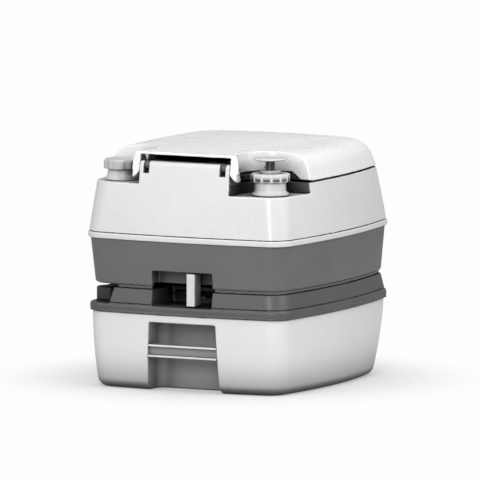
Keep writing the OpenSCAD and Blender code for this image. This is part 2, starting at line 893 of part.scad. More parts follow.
module lid() color("white") difference() {
    union() {
        difference() {
            lid_outer();
            difference() {
                lid_inner();
                each_side() scoop(wall);
                each_side() block([panel_x, -depth, lid_z], [panel_x + gap + wall, hinge_y + brow_d, top_z]);
            }
        }
        each_side() translate([panel_x + gap, hinge_y, hinge_z]) rotate([0, 90, 0])
            cylinder(r = 9, h = ear_w - 4);
    }
    each_side() scoop(0);
    brow_space();
    each_side() translate([0, 0, lid_z - past]) linear_extrude(scoop_lip + past) pocket_plan(seat_clear);
    pin_bore(hinge_r + run);
}

module lid_buffers() color("black") for (s = [-1, 1]) for (y = [-60, 110])
    translate([s * 125, y, seat_z + seat_t + gap]) cylinder(r = 5, h = roof_z - seat_z - seat_t - gap);

waste_tank();
carry_handle();
tank_deck();
valve_body();
blade_seal();
outlet_seal();
valve_screws();
valve_blade();
valve_pull();
pour_spout();
spout_ring();
spout_retainer();
spout_cap();
flush_base();
waist_gasket();
upper_shell();
seat_deck();
bowl();
bowl_outlet();
flush_nozzle();
flush_hose();
fill_neck();
fill_gasket();
fill_cap();
pump_collar();
pump_barrel();
pump_nut();
pump_gland();
foot_valve();
check_ball();
pump_rod();
pump_knob();
pump_piston();
piston_seal();
hinge_pins();
seat();
seat_buffers();
lid();
lid_buffers();
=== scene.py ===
import json
import math
import bpy
import numpy as np
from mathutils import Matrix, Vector


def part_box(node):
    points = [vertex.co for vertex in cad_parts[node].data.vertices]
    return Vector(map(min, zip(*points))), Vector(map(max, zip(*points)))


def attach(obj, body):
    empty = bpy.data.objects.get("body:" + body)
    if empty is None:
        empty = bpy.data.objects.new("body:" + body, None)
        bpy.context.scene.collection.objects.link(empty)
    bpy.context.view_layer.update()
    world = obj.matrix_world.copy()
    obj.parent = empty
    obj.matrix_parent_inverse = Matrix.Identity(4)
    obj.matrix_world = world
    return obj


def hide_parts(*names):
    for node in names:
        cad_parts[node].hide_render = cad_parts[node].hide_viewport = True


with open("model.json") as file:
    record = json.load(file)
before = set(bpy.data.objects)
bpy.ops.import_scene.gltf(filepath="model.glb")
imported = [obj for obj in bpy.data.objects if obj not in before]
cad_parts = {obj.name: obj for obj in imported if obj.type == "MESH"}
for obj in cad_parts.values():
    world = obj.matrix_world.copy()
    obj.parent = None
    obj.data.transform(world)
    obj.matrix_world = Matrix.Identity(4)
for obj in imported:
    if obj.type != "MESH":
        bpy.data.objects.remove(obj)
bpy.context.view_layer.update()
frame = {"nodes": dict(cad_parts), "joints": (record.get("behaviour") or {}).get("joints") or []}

# ------------------------------------------------------------------ camera, lamps and floor
# A long lens, so that the view is nearly parallel. The toilet stands with its hinge side
# towards the camera, turned about a quarter of the way to its right side.
AZIMUTH = math.radians(26.44)
ELEVATION = math.radians(6.484)
DISTANCE = 28.0
AIM_Z = 0.222
AIM_RIGHT = 0.00207

right = Vector((math.cos(AZIMUTH), math.sin(AZIMUTH), 0))
back = Vector((
    math.sin(AZIMUTH) * math.cos(ELEVATION),
    -math.cos(AZIMUTH) * math.cos(ELEVATION),
    math.sin(ELEVATION),
))
aim = Vector((0, 0, AIM_Z)) + right * AIM_RIGHT
lens = bpy.data.cameras.new("camera")
lens.sensor_width = 36
lens.lens = 47.317 * DISTANCE
lens.clip_end = 100
camera = bpy.data.objects.new("camera", lens)
camera.location = aim + back * DISTANCE
camera.rotation_mode = "QUATERNION"
camera.rotation_quaternion = (-back).to_track_quat("-Z", "Y")
bpy.context.scene.collection.objects.link(camera)
bpy.context.scene.camera = camera
bpy.context.scene.view_settings.view_transform = "Standard"


def softbox(name, azimuth, elevation, distance, width, height, power):
    """A rectangular lamp that faces the middle of the object. Azimuth 0 is the hinge side."""
    a, e = math.radians(azimuth), math.radians(elevation)
    way = Vector((math.sin(a) * math.cos(e), -math.cos(a) * math.cos(e), math.sin(e)))
    data = bpy.data.lights.new(name, "AREA")
    data.shape = "RECTANGLE"
    data.size = width
    data.size_y = height
    data.energy = power
    lamp = bpy.data.objects.new(name, data)
    lamp.location = Vector((0, 0, 0.2)) + way * distance
    lamp.rotation_mode = "QUATERNION"
    lamp.rotation_quaternion = (-way).to_track_quat("-Z", "Y")
    lamp.visible_camera = False
    bpy.context.scene.collection.objects.link(lamp)


softbox("key_lamp", 86, 30, 2.6, 1.3, 1.3, 24)
softbox("fill_lamp", -30, 24, 3.0, 1.6, 1.6, 20)
softbox("strip_lamp", 19, 20, 2.6, 0.2, 1.7, 23)
softbox("overhead_lamp", 0, 88, 2.6, 2.6, 2.6, 41)

world = bpy.data.worlds.new("studio")
world.use_nodes = True
bpy.context.scene.world = world
nodes, links = world.node_tree.nodes, world.node_tree.links
nodes.clear()
seen = nodes.new("ShaderNodeBackground")
seen.inputs["Color"].default_value = (0.985, 0.985, 0.985, 1)
given = nodes.new("ShaderNodeBackground")
given.inputs["Color"].default_value = (0.96, 0.98, 1, 1)
given.inputs["Strength"].default_value = 0.34
path = nodes.new("ShaderNodeLightPath")
either = nodes.new("ShaderNodeMixShader")
out = nodes.new("ShaderNodeOutputWorld")
links.new(path.outputs["Is Camera Ray"], either.inputs[0])
links.new(given.outputs[0], either.inputs[1])
links.new(seen.outputs[0], either.inputs[2])
links.new(either.outputs[0], out.inputs["Surface"])

FLOOR_HALF = 6.0
floor_mesh = bpy.data.meshes.new("floor")
floor_mesh.from_pydata(
    [(-FLOOR_HALF, -FLOOR_HALF, 0), (FLOOR_HALF, -FLOOR_HALF, 0),
     (FLOOR_HALF, FLOOR_HALF, 0), (-FLOOR_HALF, FLOOR_HALF, 0)], [], [(0, 1, 2, 3)])
floor = bpy.data.objects.new("floor", floor_mesh)
bpy.context.scene.collection.objects.link(floor)
paper = bpy.data.materials.new("pale_floor")
paper.use_nodes = True
nodes, links = paper.node_tree.nodes, paper.node_tree.links
nodes.clear()
sheet = nodes.new("ShaderNodeBsdfDiffuse")
sheet.inputs["Color"].default_value = (0.5, 0.5, 0.5, 1)
glow = nodes.new("ShaderNodeEmission")
glow.inputs["Strength"].default_value = 0.32
lit_sheet = nodes.new("ShaderNodeAddShader")
links.new(sheet.outputs[0], lit_sheet.inputs[0])
links.new(glow.outputs[0], lit_sheet.inputs[1])
far_white = nodes.new("ShaderNodeEmission")
far_white.inputs["Color"].default_value = (0.985, 0.985, 0.985, 1)
spot = nodes.new("ShaderNodeTexCoord").outputs["Object"]
reach = nodes.new("ShaderNodeVectorMath")
reach.operation = "LENGTH"
links.new(spot, reach.inputs[0])
fade = nodes.new("ShaderNodeMapRange")
fade.interpolation_type = "SMOOTHSTEP"
fade.inputs["From Min"].default_value = 0.2
fade.inputs["From Max"].default_value = 0.42
links.new(reach.outputs["Value"], fade.inputs["Value"])
shown = nodes.new("ShaderNodeMixShader")
links.new(fade.outputs["Result"], shown.inputs[0])
links.new(lit_sheet.outputs[0], shown.inputs[1])
links.new(far_white.outputs[0], shown.inputs[2])
bounce = nodes.new("ShaderNodeBsdfDiffuse")
bounce.inputs["Color"].default_value = (0.5, 0.5, 0.5, 1)
path = nodes.new("ShaderNodeLightPath")
either = nodes.new("ShaderNodeMixShader")
out = nodes.new("ShaderNodeOutputMaterial")
links.new(path.outputs["Is Camera Ray"], either.inputs[0])
links.new(bounce.outputs[0], either.inputs[1])
links.new(shown.outputs[0], either.inputs[2])
links.new(either.outputs[0], out.inputs["Surface"])
floor_mesh.materials.append(paper)

# ------------------------------------------------------------------ waste tank shell
# The white lower tank: blow moulded polyethylene with soft edges, bowed sides and a front
# that leans back for the user's feet. The grip recess is pressed into its hinge side.
MM = 0.001


def span(node):
    """Lowest and highest corner of a CAD node, in millimetres."""
    low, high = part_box(node)
    return np.array(low) / MM, np.array(high) / MM


SIDE_BOW, FACE_BOW = 19.0, 11.5
CORNER = 26.0
BEAD_OUT = 3.0
shell_low, shell_high = span("upper_shell")
HALF_W = shell_high[0] - BEAD_OUT
HALF_D = -shell_low[1] - BEAD_OUT


def blend_cut(a, b, radius):
    """Where both rules hold: the edge between them is rounded to the radius."""
    p, q = a + radius, b + radius
    return np.hypot(np.maximum(p, 0), np.maximum(q, 0)) + np.minimum(np.maximum(p, q), 0) - radius


def blend_join(a, b, radius):
    """Where either rule holds, with a fillet between them."""
    return -blend_cut(-a, -b, radius)


def outline(x, y, side, rear, front, corner=CORNER):
    """Distance outside the plan of the body, set in at the sides, the hinge side and the front."""
    half_x = HALF_W - side - SIDE_BOW
    half_y = HALF_D - np.where(y > 0, front, rear) - FACE_BOW
    a = np.abs(x) - half_x - SIDE_BOW * (1 - (y / half_y) ** 2)
    b = np.abs(y) - half_y - FACE_BOW * (1 - (x / half_x) ** 2)
    return blend_cut(a, b, corner)


def rulings(low, high, coarse, fine, bands):
    """Grid lines from low to high, close together inside the bands."""
    lines = [low]
    while lines[-1] < high:
        here = lines[-1]
        near = any(a <= here < b for a, b in bands)
        there = here + (fine if near else coarse)
        starts = [a for a, b in bands if here < a < there]
        lines.append(min([there] + starts))
    return np.array(lines)


def both_ways(bands):
    return [(-b, -a) for a, b in bands] + list(bands)


def slope_of(rule, p, step=0.05):
    """Gradient of a shape rule at points."""
    columns = []
    for k in range(3):
        d = np.zeros(3)
        d[k] = step
        columns.append((rule(*(p + d).T) - rule(*(p - d).T)) / (2 * step))
    return np.stack(columns, 1)


def mesh_piece(name, points, faces, normals=None):
    """A smooth mesh object from points in millimetres. Its edge layer says how convex each
    point is, so that handling wear can follow the edges."""
    mesh = bpy.data.meshes.new(name)
    mesh.from_pydata((points * MM).tolist(), [], faces.tolist() if hasattr(faces, "tolist") else faces)
    mesh.validate()
    mesh.shade_smooth()
    if normals is not None:
        mesh.normals_split_custom_set_from_vertices(normals.tolist())
    n = len(mesh.vertices)
    ends = np.zeros(len(mesh.edges) * 2, np.int64)
    mesh.edges.foreach_get("vertices", ends)
    ends = ends.reshape(-1, 2)
    co = np.array(points, float)
    vn = np.zeros(n * 3)
    mesh.vertices.foreach_get("normal", vn)
    vn = vn.reshape(-1, 3)
    bend, count = np.zeros(n), np.zeros(n)
    for a, b in (ends.T, ends.T[::-1]):
        d = co[a] - co[b]
        np.add.at(bend, a, 2 * (vn[a] * d).sum(1) / np.maximum((d * d).sum(1), 0.01))
        np.add.at(count, a, 1)
    bend /= np.maximum(count, 1)
    for layer, sign in (("edge", 1), ("hollow", -1)):
        values = np.clip(sign * bend * 2.2, 0, 1).astype(np.float32)
        mesh.attributes.new(layer, "FLOAT", "POINT").data.foreach_set("value", values)
    piece = bpy.data.objects.new(name, mesh)
    bpy.context.scene.collection.objects.link(piece)
    return piece


CUBE = np.array([[a, b, c] for a in (0, 1) for b in (0, 1) for c in (0, 1)])
CUBE_EDGES = [(a, b) for a in range(8) for b in range(a + 1, 8) if abs(CUBE[a] - CUBE[b]).sum() == 1]


def moulded(name, rule, xs, ys, zs, relax=3):
    """The surface where a shape rule is zero, as quads laid out along the grid lines."""
    value = np.stack([rule(x + 0 * ys[:, None], ys[:, None] + 0 * zs, zs + 0 * ys[:, None]) for x in xs])
    solid = value < 0
    hits = sum(solid[a:len(xs) - 1 + a, b:len(ys) - 1 + b, c:len(zs) - 1 + c].astype(np.int8)
               for a, b, c in CUBE)
    mixed = (hits > 0) & (hits < 8)
    cells = np.argwhere(mixed)
    number = np.full(mixed.shape, -1)
    number[mixed] = np.arange(len(cells))
    ids = cells[:, None] + CUBE
    corner = value[ids[..., 0], ids[..., 1], ids[..., 2]]
    place = np.stack([xs[ids[..., 0]], ys[ids[..., 1]], zs[ids[..., 2]]], -1)
    total, count = np.zeros((len(cells), 3)), np.zeros(len(cells))
    for a, b in CUBE_EDGES:
        crossed = (corner[:, a] < 0) != (corner[:, b] < 0)
        t = corner[:, a] / np.where(crossed, corner[:, a] - corner[:, b], 1)
        total += (place[:, a] + (place[:, b] - place[:, a]) * t[:, None]) * crossed[:, None]
        count += crossed
    points = total / count[:, None]
    quads = []
    for axis in range(3):
        s, q = np.moveaxis(solid, axis, 0), np.moveaxis(number, axis, 0)
        low, high = s[:-1, 1:-1, 1:-1], s[1:, 1:-1, 1:-1]
        ring = np.stack([q[:, :-1, :-1], q[:, 1:, :-1], q[:, 1:, 1:], q[:, :-1, 1:]], -1)
        turn = axis != 1
        quads.append(ring[low & ~high][:, ::1 if turn else -1])
        quads.append(ring[~low & high][:, ::-1 if turn else 1])
    quads = np.concatenate(quads)
    ends = np.concatenate([quads[:, [k, (k + 1) % 4]] for k in range(4)])

    def settle(p):
        for _ in range(3):
            g = slope_of(rule, p)
            move = (rule(*p.T) / np.maximum((g * g).sum(1), 0.05))[:, None] * g
            size = np.linalg.norm(move, axis=1, keepdims=True)
            p = p - move * np.minimum(1, 1.5 / np.maximum(size, 1e-9))
        return p

    points = settle(points)
    for _ in range(relax):
        mean, near = np.zeros_like(points), np.zeros(len(points))
        np.add.at(mean, ends[:, 0], points[ends[:, 1]])
        np.add.at(mean, ends[:, 1], points[ends[:, 0]])
        np.add.at(near, ends.ravel(), 1)
        points = settle(points + 0.5 * (mean / near[:, None] - points))
    g = slope_of(rule, points)
    steep = np.maximum(np.linalg.norm(g, axis=1, keepdims=True), 1e-9)
    return mesh_piece(name, points, quads, g / steep)


TANK_H = span("waste_tank")[1][2]
TANK_STEP, TANK_TAPER, TOE_ROOM, TANK_EDGE = 2.5, 7.6, 21.0, 14.0
WALL = 3.0
bar_low, bar_high = span("carry_handle")
GRIP_HALF, GRIP_FLARE = 58.0, 5.0
GRIP_BACK, GRIP_TOP, GRIP_CORNER = -152.5, 109.5, 15.0


def tank_outer(x, y, z):
    up = np.clip(1 - z / TANK_H, 0, 1)
    t = TANK_STEP + TANK_TAPER * up ** 2
    return outline(x, y, t, t, t + TOE_ROOM * up ** 1.15)


def grip_recess(x, y, z):
    sides = np.abs(x) - GRIP_HALF - GRIP_FLARE * (1 - z / TANK_H)
    return blend_cut(blend_cut(sides, y - GRIP_BACK, GRIP_CORNER), z - GRIP_TOP, 3)


def tank_rule(x, y, z):
    skin = tank_outer(x, y, z)
    body = blend_cut(blend_cut(skin, -z, TANK_EDGE), z - TANK_H, 1.5)
    recess = grip_recess(x, y, z)
    inside = blend_cut(blend_cut(skin + 2 * WALL, 2 * WALL - z, 12), 2 * WALL - recess, 8)
    return blend_cut(blend_cut(body, -recess, 2.4), -inside, 1)


rim = [(142, 193)]
tank_shell = moulded(
    "tank_shell", tank_rule,
    rulings(-193, 193, 5, 1.8, both_ways(rim + [(52, 68)])),
    rulings(-209, 209, 5, 1.8, [(-209, -147), (140, 209)]),
    rulings(-2, TANK_H + 2, 4, 1.6, [(-2, 5), (105, 126)]))


def new_group(name, inputs, outputs):
    """An empty shader node group with named sockets; returns it with its two end nodes."""
    group = bpy.data.node_groups.new(name, "ShaderNodeTree")
    for label, value in inputs:
        socket = group.interface.new_socket(label, in_out="INPUT", socket_type="NodeSocketFloat")
        socket.default_value = value
    for label in outputs:
        group.interface.new_socket(label, in_out="OUTPUT", socket_type="NodeSocketFloat")
    return group, group.nodes.new("NodeGroupInput"), group.nodes.new("NodeGroupOutput")


def noise(tree, coords, scale, detail=2.0, rough=0.5):
    node = tree.nodes.new("ShaderNodeTexNoise")
    node.inputs["Detail"].default_value = detail
    node.inputs["Roughness"].default_value = rough
    if isinstance(scale, (int, float)):
        node.inputs["Scale"].default_value = scale
    else:
        tree.links.new(scale, node.inputs["Scale"])
    tree.links.new(coords, node.inputs["Vector"])
    return node.outputs["Fac"]


def remap(tree, value, a, b, c=0.0, d=1.0):
    node = tree.nodes.new("ShaderNodeMapRange")
    tree.links.new(value, node.inputs["Value"])
    for label, number in (("From Min", a), ("From Max", b), ("To Min", c), ("To Max", d)):
        node.inputs[label].default_value = number
    return node.outputs["Result"]


def combine(tree, how, a, b):
    node = tree.nodes.new("ShaderNodeMath")
    node.operation = how
    for k, item in enumerate((a, b)):
        if isinstance(item, (int, float)):
            node.inputs[k].default_value = item
        else:
            tree.links.new(item, node.inputs[k])
    return node.outputs[0]


def layer(tree, name):
    node = tree.nodes.new("ShaderNodeAttribute")
    node.attribute_name = name
    return node.outputs["Fac"]


# Moulded skin: slow shade drift from the resin, flow marks, and a fine satin grain
moulded_skin, given_in, given_out = new_group(
    "moulded_skin", [("Grain Scale", 900)], ["Drift", "Polish", "Height"])
t = moulded_skin
coords = t.nodes.new("ShaderNodeTexCoord").outputs["Object"]
t.links.new(remap(t, noise(t, coords, 9, 4, 0.6), 0.3, 0.7), given_out.inputs["Drift"])
t.links.new(remap(t, noise(t, coords, 34, 5, 0.65), 0.3, 0.7), given_out.inputs["Polish"])
fine = noise(t, coords, given_in.outputs["Grain Scale"], 3, 0.6)
peel = noise(t, coords, 140, 2, 0.5)
t.links.new(combine(t, "ADD", fine, combine(t, "MULTIPLY", peel, 0.6)), given_out.inputs["Height"])

# Handling wear: rubbed edges broken up by noise, and a few thin scratches across the faces
handling_wear, given_in, given_out = new_group(
    "handling_wear", [("Rub", 0.5), ("Scratch", 0.3)], ["Mask"])
t = handling_wear
coords = t.nodes.new("ShaderNodeTexCoord").outputs["Object"]
patches = remap(t, noise(t, coords, 55, 6, 0.7), 0.42, 0.66)
rubbed = combine(t, "MULTIPLY", layer(t, "edge"), patches)
rubbed = combine(t, "MULTIPLY", rubbed, given_in.outputs["Rub"])
stretch = t.nodes.new("ShaderNodeMapping")
stretch.inputs["Rotation"].default_value = (0.3, 0.5, 0.7)
stretch.inputs["Scale"].default_value = (30, 900, 30)
t.links.new(coords, stretch.inputs["Vector"])
hair = remap(t, noise(t, stretch.outputs[0], 1, 2, 0.5), 0.70, 0.76)
hair = combine(t, "MULTIPLY", hair, remap(t, noise(t, coords, 22, 2, 0.5), 0.55, 0.7))
scratched = combine(t, "MULTIPLY", hair, given_in.outputs["Scratch"])
t.links.new(combine(t, "MAXIMUM", rubbed, scratched), given_out.inputs["Mask"])

# A faint darkening in concave hollows, and painted shade that darkens the colour near the floor
film_and_floor_shade, given_in, given_out = new_group(
    "film_and_floor_shade", [("Film And Shade", 0.3), ("Floor Line", 0.02)], ["Mask"])
t = film_and_floor_shade
coords = t.nodes.new("ShaderNodeTexCoord").outputs["Object"]
apart = t.nodes.new("ShaderNodeSeparateXYZ")
t.links.new(coords, apart.inputs[0])
cloud = remap(t, noise(t, coords, 40, 6, 0.7), 0.35, 0.7)
# Painted shade: darker towards the floor, where the floor shades the lower edge
height = combine(t, "DIVIDE", apart.outputs["Z"], given_in.outputs["Floor Line"])
near_floor_darkening = remap(t, height, 1.0, 0.0)
film_and_shade = combine(t, "MAXIMUM", combine(t, "MULTIPLY", layer(t, "hollow"), 0.8), near_floor_darkening)
film_and_shade = combine(t, "MULTIPLY", combine(t, "MULTIPLY", film_and_shade, cloud), given_in.outputs["Film And Shade"])
t.links.new(film_and_shade, given_out.inputs["Mask"])

# Painted recess shade: the colour darkens where ambient occlusion finds close walls, inside recesses and
# pockets
painted_recess_shade, given_in, given_out = new_group("painted_recess_shade", [("Reach", 0.05)], ["Mask"])
t = painted_recess_shade
crowd = t.nodes.new("ShaderNodeAmbientOcclusion")
crowd.samples = 6
t.links.new(given_in.outputs["Reach"], crowd.inputs["Distance"])
t.links.new(remap(t, crowd.outputs["AO"], 0.82, 0.28), given_out.inputs["Mask"])


def tint(tree, mask, base, colour):
    """Base colour, turned towards a second colour where the mask says."""
    node = tree.nodes.new("ShaderNodeMix")
    node.data_type = "RGBA"
    tree.links.new(mask, node.inputs[0])
    if isinstance(base, tuple):
        node.inputs[6].default_value = (*base, 1)
    else:
        tree.links.new(base, node.inputs[6])
    node.inputs[7].default_value = (*colour, 1)
    return node.outputs[2]


def moulding_material(name, colour, drift, worn, film_shade_colour, polish, grain=900, depth=0.00002,
                      rub=0.5, scratch=0.3, film_and_shade=0.3, floor_line=0.02, reach=0.05):
    """Moulded plastic: base colour, its drift, the colour of rubbed edges, the colour of the darkening
    in hollows and of the painted shade near the floor, and a painted shade colour inside recesses.
    """
    material = bpy.data.materials.new(name)
    material.use_nodes = True
    tree = material.node_tree
    shader = tree.nodes["Principled BSDF"]
    placed = []
    for group, values in ((moulded_skin, {"Grain Scale": grain}),
                          (handling_wear, {"Rub": rub, "Scratch": scratch}),
                          (film_and_floor_shade, {"Film And Shade": film_and_shade, "Floor Line": floor_line}),
                          (painted_recess_shade, {"Reach": reach})):
        node = tree.nodes.new("ShaderNodeGroup")
        node.node_tree = group
        for label, value in values.items():
            node.inputs[label].default_value = value
        placed.append(node)
    skin, wear, film_shade_node, recess_shade_node = placed
    shade = tint(tree, skin.outputs["Drift"], colour, drift)
    shade = tint(tree, wear.outputs["Mask"], shade, worn)
    # Darkening in hollows, and painted shade near the floor
    shade = tint(tree, film_shade_node.outputs["Mask"], shade, film_shade_colour)
    # Painted shade: inside recesses the colour darkens towards this
    recess_shade_colour = tuple(c * c * 0.12 for c in colour)
    shade = tint(tree, recess_shade_node.outputs["Mask"], shade, recess_shade_colour)
    tree.links.new(shade, shader.inputs["Base Color"])
    rough = remap(tree, skin.outputs["Polish"], 0, 1, polish[0], polish[1])
    rough = combine(tree, "ADD", rough, combine(tree, "MULTIPLY", wear.outputs["Mask"], 0.2))
    tree.links.new(rough, shader.inputs["Roughness"])
    bump = tree.nodes.new("ShaderNodeBump")
    bump.inputs["Strength"].default_value = 0.5
    bump.inputs["Distance"].default_value = depth
    tree.links.new(skin.outputs["Height"], bump.inputs["Height"])
    tree.links.new(bump.outputs["Normal"], shader.inputs["Normal"])
    return material


def place(piece, material, body, slot, *cad_nodes):
    """Gives a piece its finish, sets it on its body and hides the CAD nodes that it stands for."""
    piece.data.materials.append(material)
    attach(piece, body)
    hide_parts(*cad_nodes)


# A long reach of the painted recess shade darkens the whole grip recess
tank_white = moulding_material(
    "white_polyethylene", (0.815, 0.82, 0.82), (0.78, 0.785, 0.785), (0.88, 0.88, 0.87),
    (0.46, 0.44, 0.40), (0.34, 0.44), film_and_shade=0.45, reach=0.088)
place(tank_shell, tank_white, "waste_tank", "white_tank", "waste_tank")

# ------------------------------------------------------------------ grip bar
# A white channel across the recess: two thin flanges with a web set back between them. It is
# moulded with the tank and flares where it meets the recess walls.
FLANGE = 3.2
bar_mid = (bar_low[2] + bar_high[2]) / 2
bar_half = (bar_high[2] - bar_low[2]) / 2


def grip_bar_rule(x, y, z):
    ends = np.abs(x) - GRIP_HALF - GRIP_FLARE * (1 - z / TANK_H) + 0.1
    flare = 3.5 * np.exp((np.abs(x) - GRIP_HALF) / 3.5)
    upright = np.abs(z - bar_mid) - bar_half
    block = blend_cut(blend_cut(y - bar_high[1], bar_low[1] - y, 0.8), upright, 1.0)
    channel = blend_cut(y - (bar_high[1] - FLANGE - np.minimum(flare, 7)), upright + FLANGE, 1.2)
    return np.maximum(blend_cut(block, -channel, 0.8), ends)


grip_bar = moulded(
    "grip_bar", grip_bar_rule,
    rulings(-64, 64, 3, 1.0, [(-64, -48), (48, 64)]),
    rulings(bar_low[1] - 2, bar_high[1] + 2, 0.8, 0.8, []),
    rulings(bar_low[2] - 2, bar_high[2] + 2, 0.8, 0.8, []), relax=1)
place(grip_bar, tank_white, "waste_tank", "white_tank", "carry_handle")

# ------------------------------------------------------------------ deck of the waste tank
# Grey moulding welded to the tank: a rounded lip, and a neck that carries the upper tank. The
# cave for the valve pull and the cut-back corner for the pour spout open on the hinge side.
deck_high = span("tank_deck")[1]
DECK_Z = deck_high[2]
LIP_Z = TANK_H + 14.5
LIP_OUT, NECK_FOOT, NECK_TOP = 0.8, 1.6, 6.0
CAVE_HALF, CAVE_BACK = 53.0, -128.0
CAVE_FLOOR = LIP_Z - 1.5
POCKET_X, POCKET_Y = -127.0, -55.5
OUTLET_R, OUTLET_Y = 38.0, 5.0


def cave_space(x, y, z, grow=0.0):
    plan = blend_cut(np.abs(x) - CAVE_HALF, y - CAVE_BACK, 4)
    return blend_cut(plan, CAVE_FLOOR - z, 1.5) - grow


def spout_pocket(x, y, z, grow=0.0):
    slant = POCKET_X - 3 + 7 * (z - LIP_Z) / (DECK_Z - LIP_Z)
    plan = blend_cut(x - slant, y - POCKET_Y, 8)
    return blend_cut(plan, CAVE_FLOOR - z, 1.5) - grow


def deck_rule(x, y, z):
    lip_mid, lip_half = (TANK_H + LIP_Z) / 2, (LIP_Z - TANK_H) / 2
    lip = blend_cut(outline(x, y, -LIP_OUT, -LIP_OUT, -LIP_OUT), np.abs(z - lip_mid) - lip_half, 5.5)
    lean = NECK_FOOT + (NECK_TOP - NECK_FOOT) * (z - LIP_Z) / (DECK_Z - LIP_Z)
    neck_skin = outline(x, y, lean, lean, lean)
    neck = blend_cut(neck_skin, z - DECK_Z, 1.5)
    neck = blend_cut(neck, TANK_H - z, 0.5)
    body = np.minimum(lip, neck)
    crease = np.maximum(-neck_skin - 1.3, np.abs(z - LIP_Z - 0.5) - 0.6)
    body = blend_cut(body, -crease, 0.3)
    cave, pocket = cave_space(x, y, z), spout_pocket(x, y, z)
    inside = blend_cut(neck_skin + 2 * WALL, z - DECK_Z + WALL, 3)
    inside = blend_cut(inside, WALL - np.minimum(cave, pocket), 3)
    outlet = np.hypot(x, y - OUTLET_Y) - OUTLET_R - 8.1
    slit = np.maximum(np.maximum(np.abs(x) - 45.6, np.abs(z - 150.3) - 2.5), np.abs(y - CAVE_BACK) - 6)
    for cut, radius in ((cave, 1.2), (pocket, 1.2), (inside, 1), (outlet, 0.8), (slit, 0.4)):
        body = blend_cut(body, -cut, radius)
    return body


deck = moulded(
    "deck_moulding", deck_rule,
    rulings(-194, 194, 5, 1.5, [(-194, -148), (-135, -120), (-58, -40), (40, 58), (148, 194)]),
    rulings(-210, 210, 5, 1.5, [(-210, -165), (-136, -122), (-62, -50), (165, 210)]),
    rulings(TANK_H - 1.5, DECK_Z + 1.5, 1.4, 0.6, [(LIP_Z - 2.5, LIP_Z + 2.5)]), relax=1)
tank_grey = moulding_material(
    "grey_polyethylene", (0.148, 0.148, 0.15), (0.132, 0.132, 0.134), (0.2, 0.2, 0.2),
    (0.2, 0.19, 0.175), (0.30, 0.42), grain=1300, depth=0.00004, film_and_shade=0.25)
deck_grey = moulding_material(
    "grey_deck_polyethylene", (0.1, 0.1, 0.102), (0.088, 0.088, 0.09), (0.15, 0.15, 0.15),
    (0.16, 0.152, 0.14), (0.36, 0.48), grain=1300, depth=0.00004, film_and_shade=0.25)
place(deck, deck_grey, "waste_tank", "grey_tank", "tank_deck")

# ------------------------------------------------------------------ slide valve
# A dark valve box hangs under the deck on six screws, with a rubber seal above the blade and
# one around the outlet. These pieces keep their CAD shape.


def dress(node, material, ease=0.0004):
    """A finish and eased edges for a piece whose CAD shape is right."""
    piece = frame["nodes"][node]
    piece.data.materials.clear()
    piece.data.materials.append(material)
    piece.data.shade_smooth()
    piece.modifiers.new("weld", "WELD").merge_threshold = 0.00002
    bevel = piece.modifiers.new("eased_edges", "BEVEL")
    bevel.width = ease
    bevel.segments = 2
    bevel.limit_method = "ANGLE"
    bevel.angle_limit = math.radians(35)
    bevel.harden_normals = True
    bevel.use_clamp_overlap = True


dark_fitting = moulding_material(
    "dark_fitting_plastic", (0.035, 0.035, 0.036), (0.028, 0.028, 0.03), (0.09, 0.09, 0.09),
    (0.1, 0.095, 0.09), (0.38, 0.5), grain=1500, depth=0.00004)
rubber = moulding_material(
    "black_rubber", (0.012, 0.012, 0.012), (0.018, 0.018, 0.018), (0.05, 0.05, 0.05),
    (0.09, 0.085, 0.08), (0.55, 0.7), grain=2200, depth=0.00005)
valve_white = moulding_material(
    "white_valve_plastic", (0.72, 0.72, 0.715), (0.69, 0.69, 0.685), (0.8, 0.8, 0.79),
    (0.5, 0.48, 0.45), (0.28, 0.38), grain=1500, depth=0.00001)
dress("valve_body", dark_fitting)
dress("blade_seal", rubber)
dress("outlet_seal", rubber, 0.0008)
# The blade is white plastic, but it takes the dark finish: painted shade for the cave it sits in
dress("valve_blade", dark_fitting)

steel = bpy.data.materials.new("stainless_steel")
steel.use_nodes = True
tree = steel.node_tree
shader = tree.nodes["Principled BSDF"]
shader.inputs["Metallic"].default_value = 1
coords = tree.nodes.new("ShaderNodeTexCoord").outputs["Object"]
brushed = noise(tree, coords, 700, 4, 0.6)
tree.links.new(tint(tree, brushed, (0.62, 0.62, 0.63), (0.5, 0.5, 0.51)), shader.inputs["Base Color"])
tree.links.new(remap(tree, brushed, 0.3, 0.7, 0.24, 0.42), shader.inputs["Roughness"])
for node in ("valve_screws", "hinge_pins", "check_ball"):
    dress(node, steel, 0.0003)

# ------------------------------------------------------------------ valve pull
# The white upright tab that the user pulls to open the blade. It is moulded on the blade's stem
# and its front edge is rounded for the fingers.
pull_low, pull_high = span("valve_pull")
pull_mid, pull_half = (pull_low + pull_high) / 2, (pull_high - pull_low) / 2


def pull_rule(x, y, z):
    sides = np.abs(x - pull_mid[0]) - pull_half[0]
    dish = 1.1 * np.exp(-((z - pull_mid[2]) / 15) ** 2) * np.exp(-((y - pull_mid[1]) / 8) ** 2)
    tab = blend_cut(sides + dish, np.abs(y - pull_mid[1]) - pull_half[1], 1.2)
    return blend_cut(tab, np.abs(z - pull_mid[2]) - pull_half[2], 1.2)


pull = moulded(
    "valve_pull_tab", pull_rule,
    rulings(pull_low[0] - 1.5, pull_high[0] + 1.5, 0.7, 0.7, []),
    rulings(pull_low[1] - 1.5, pull_high[1] + 1.5, 0.8, 0.8, []),
    rulings(pull_low[2] - 1.5, pull_high[2] + 1.5, 1.0, 1.0, []), relax=1)
place(pull, valve_white, "valve", "white_valve", "valve_pull")

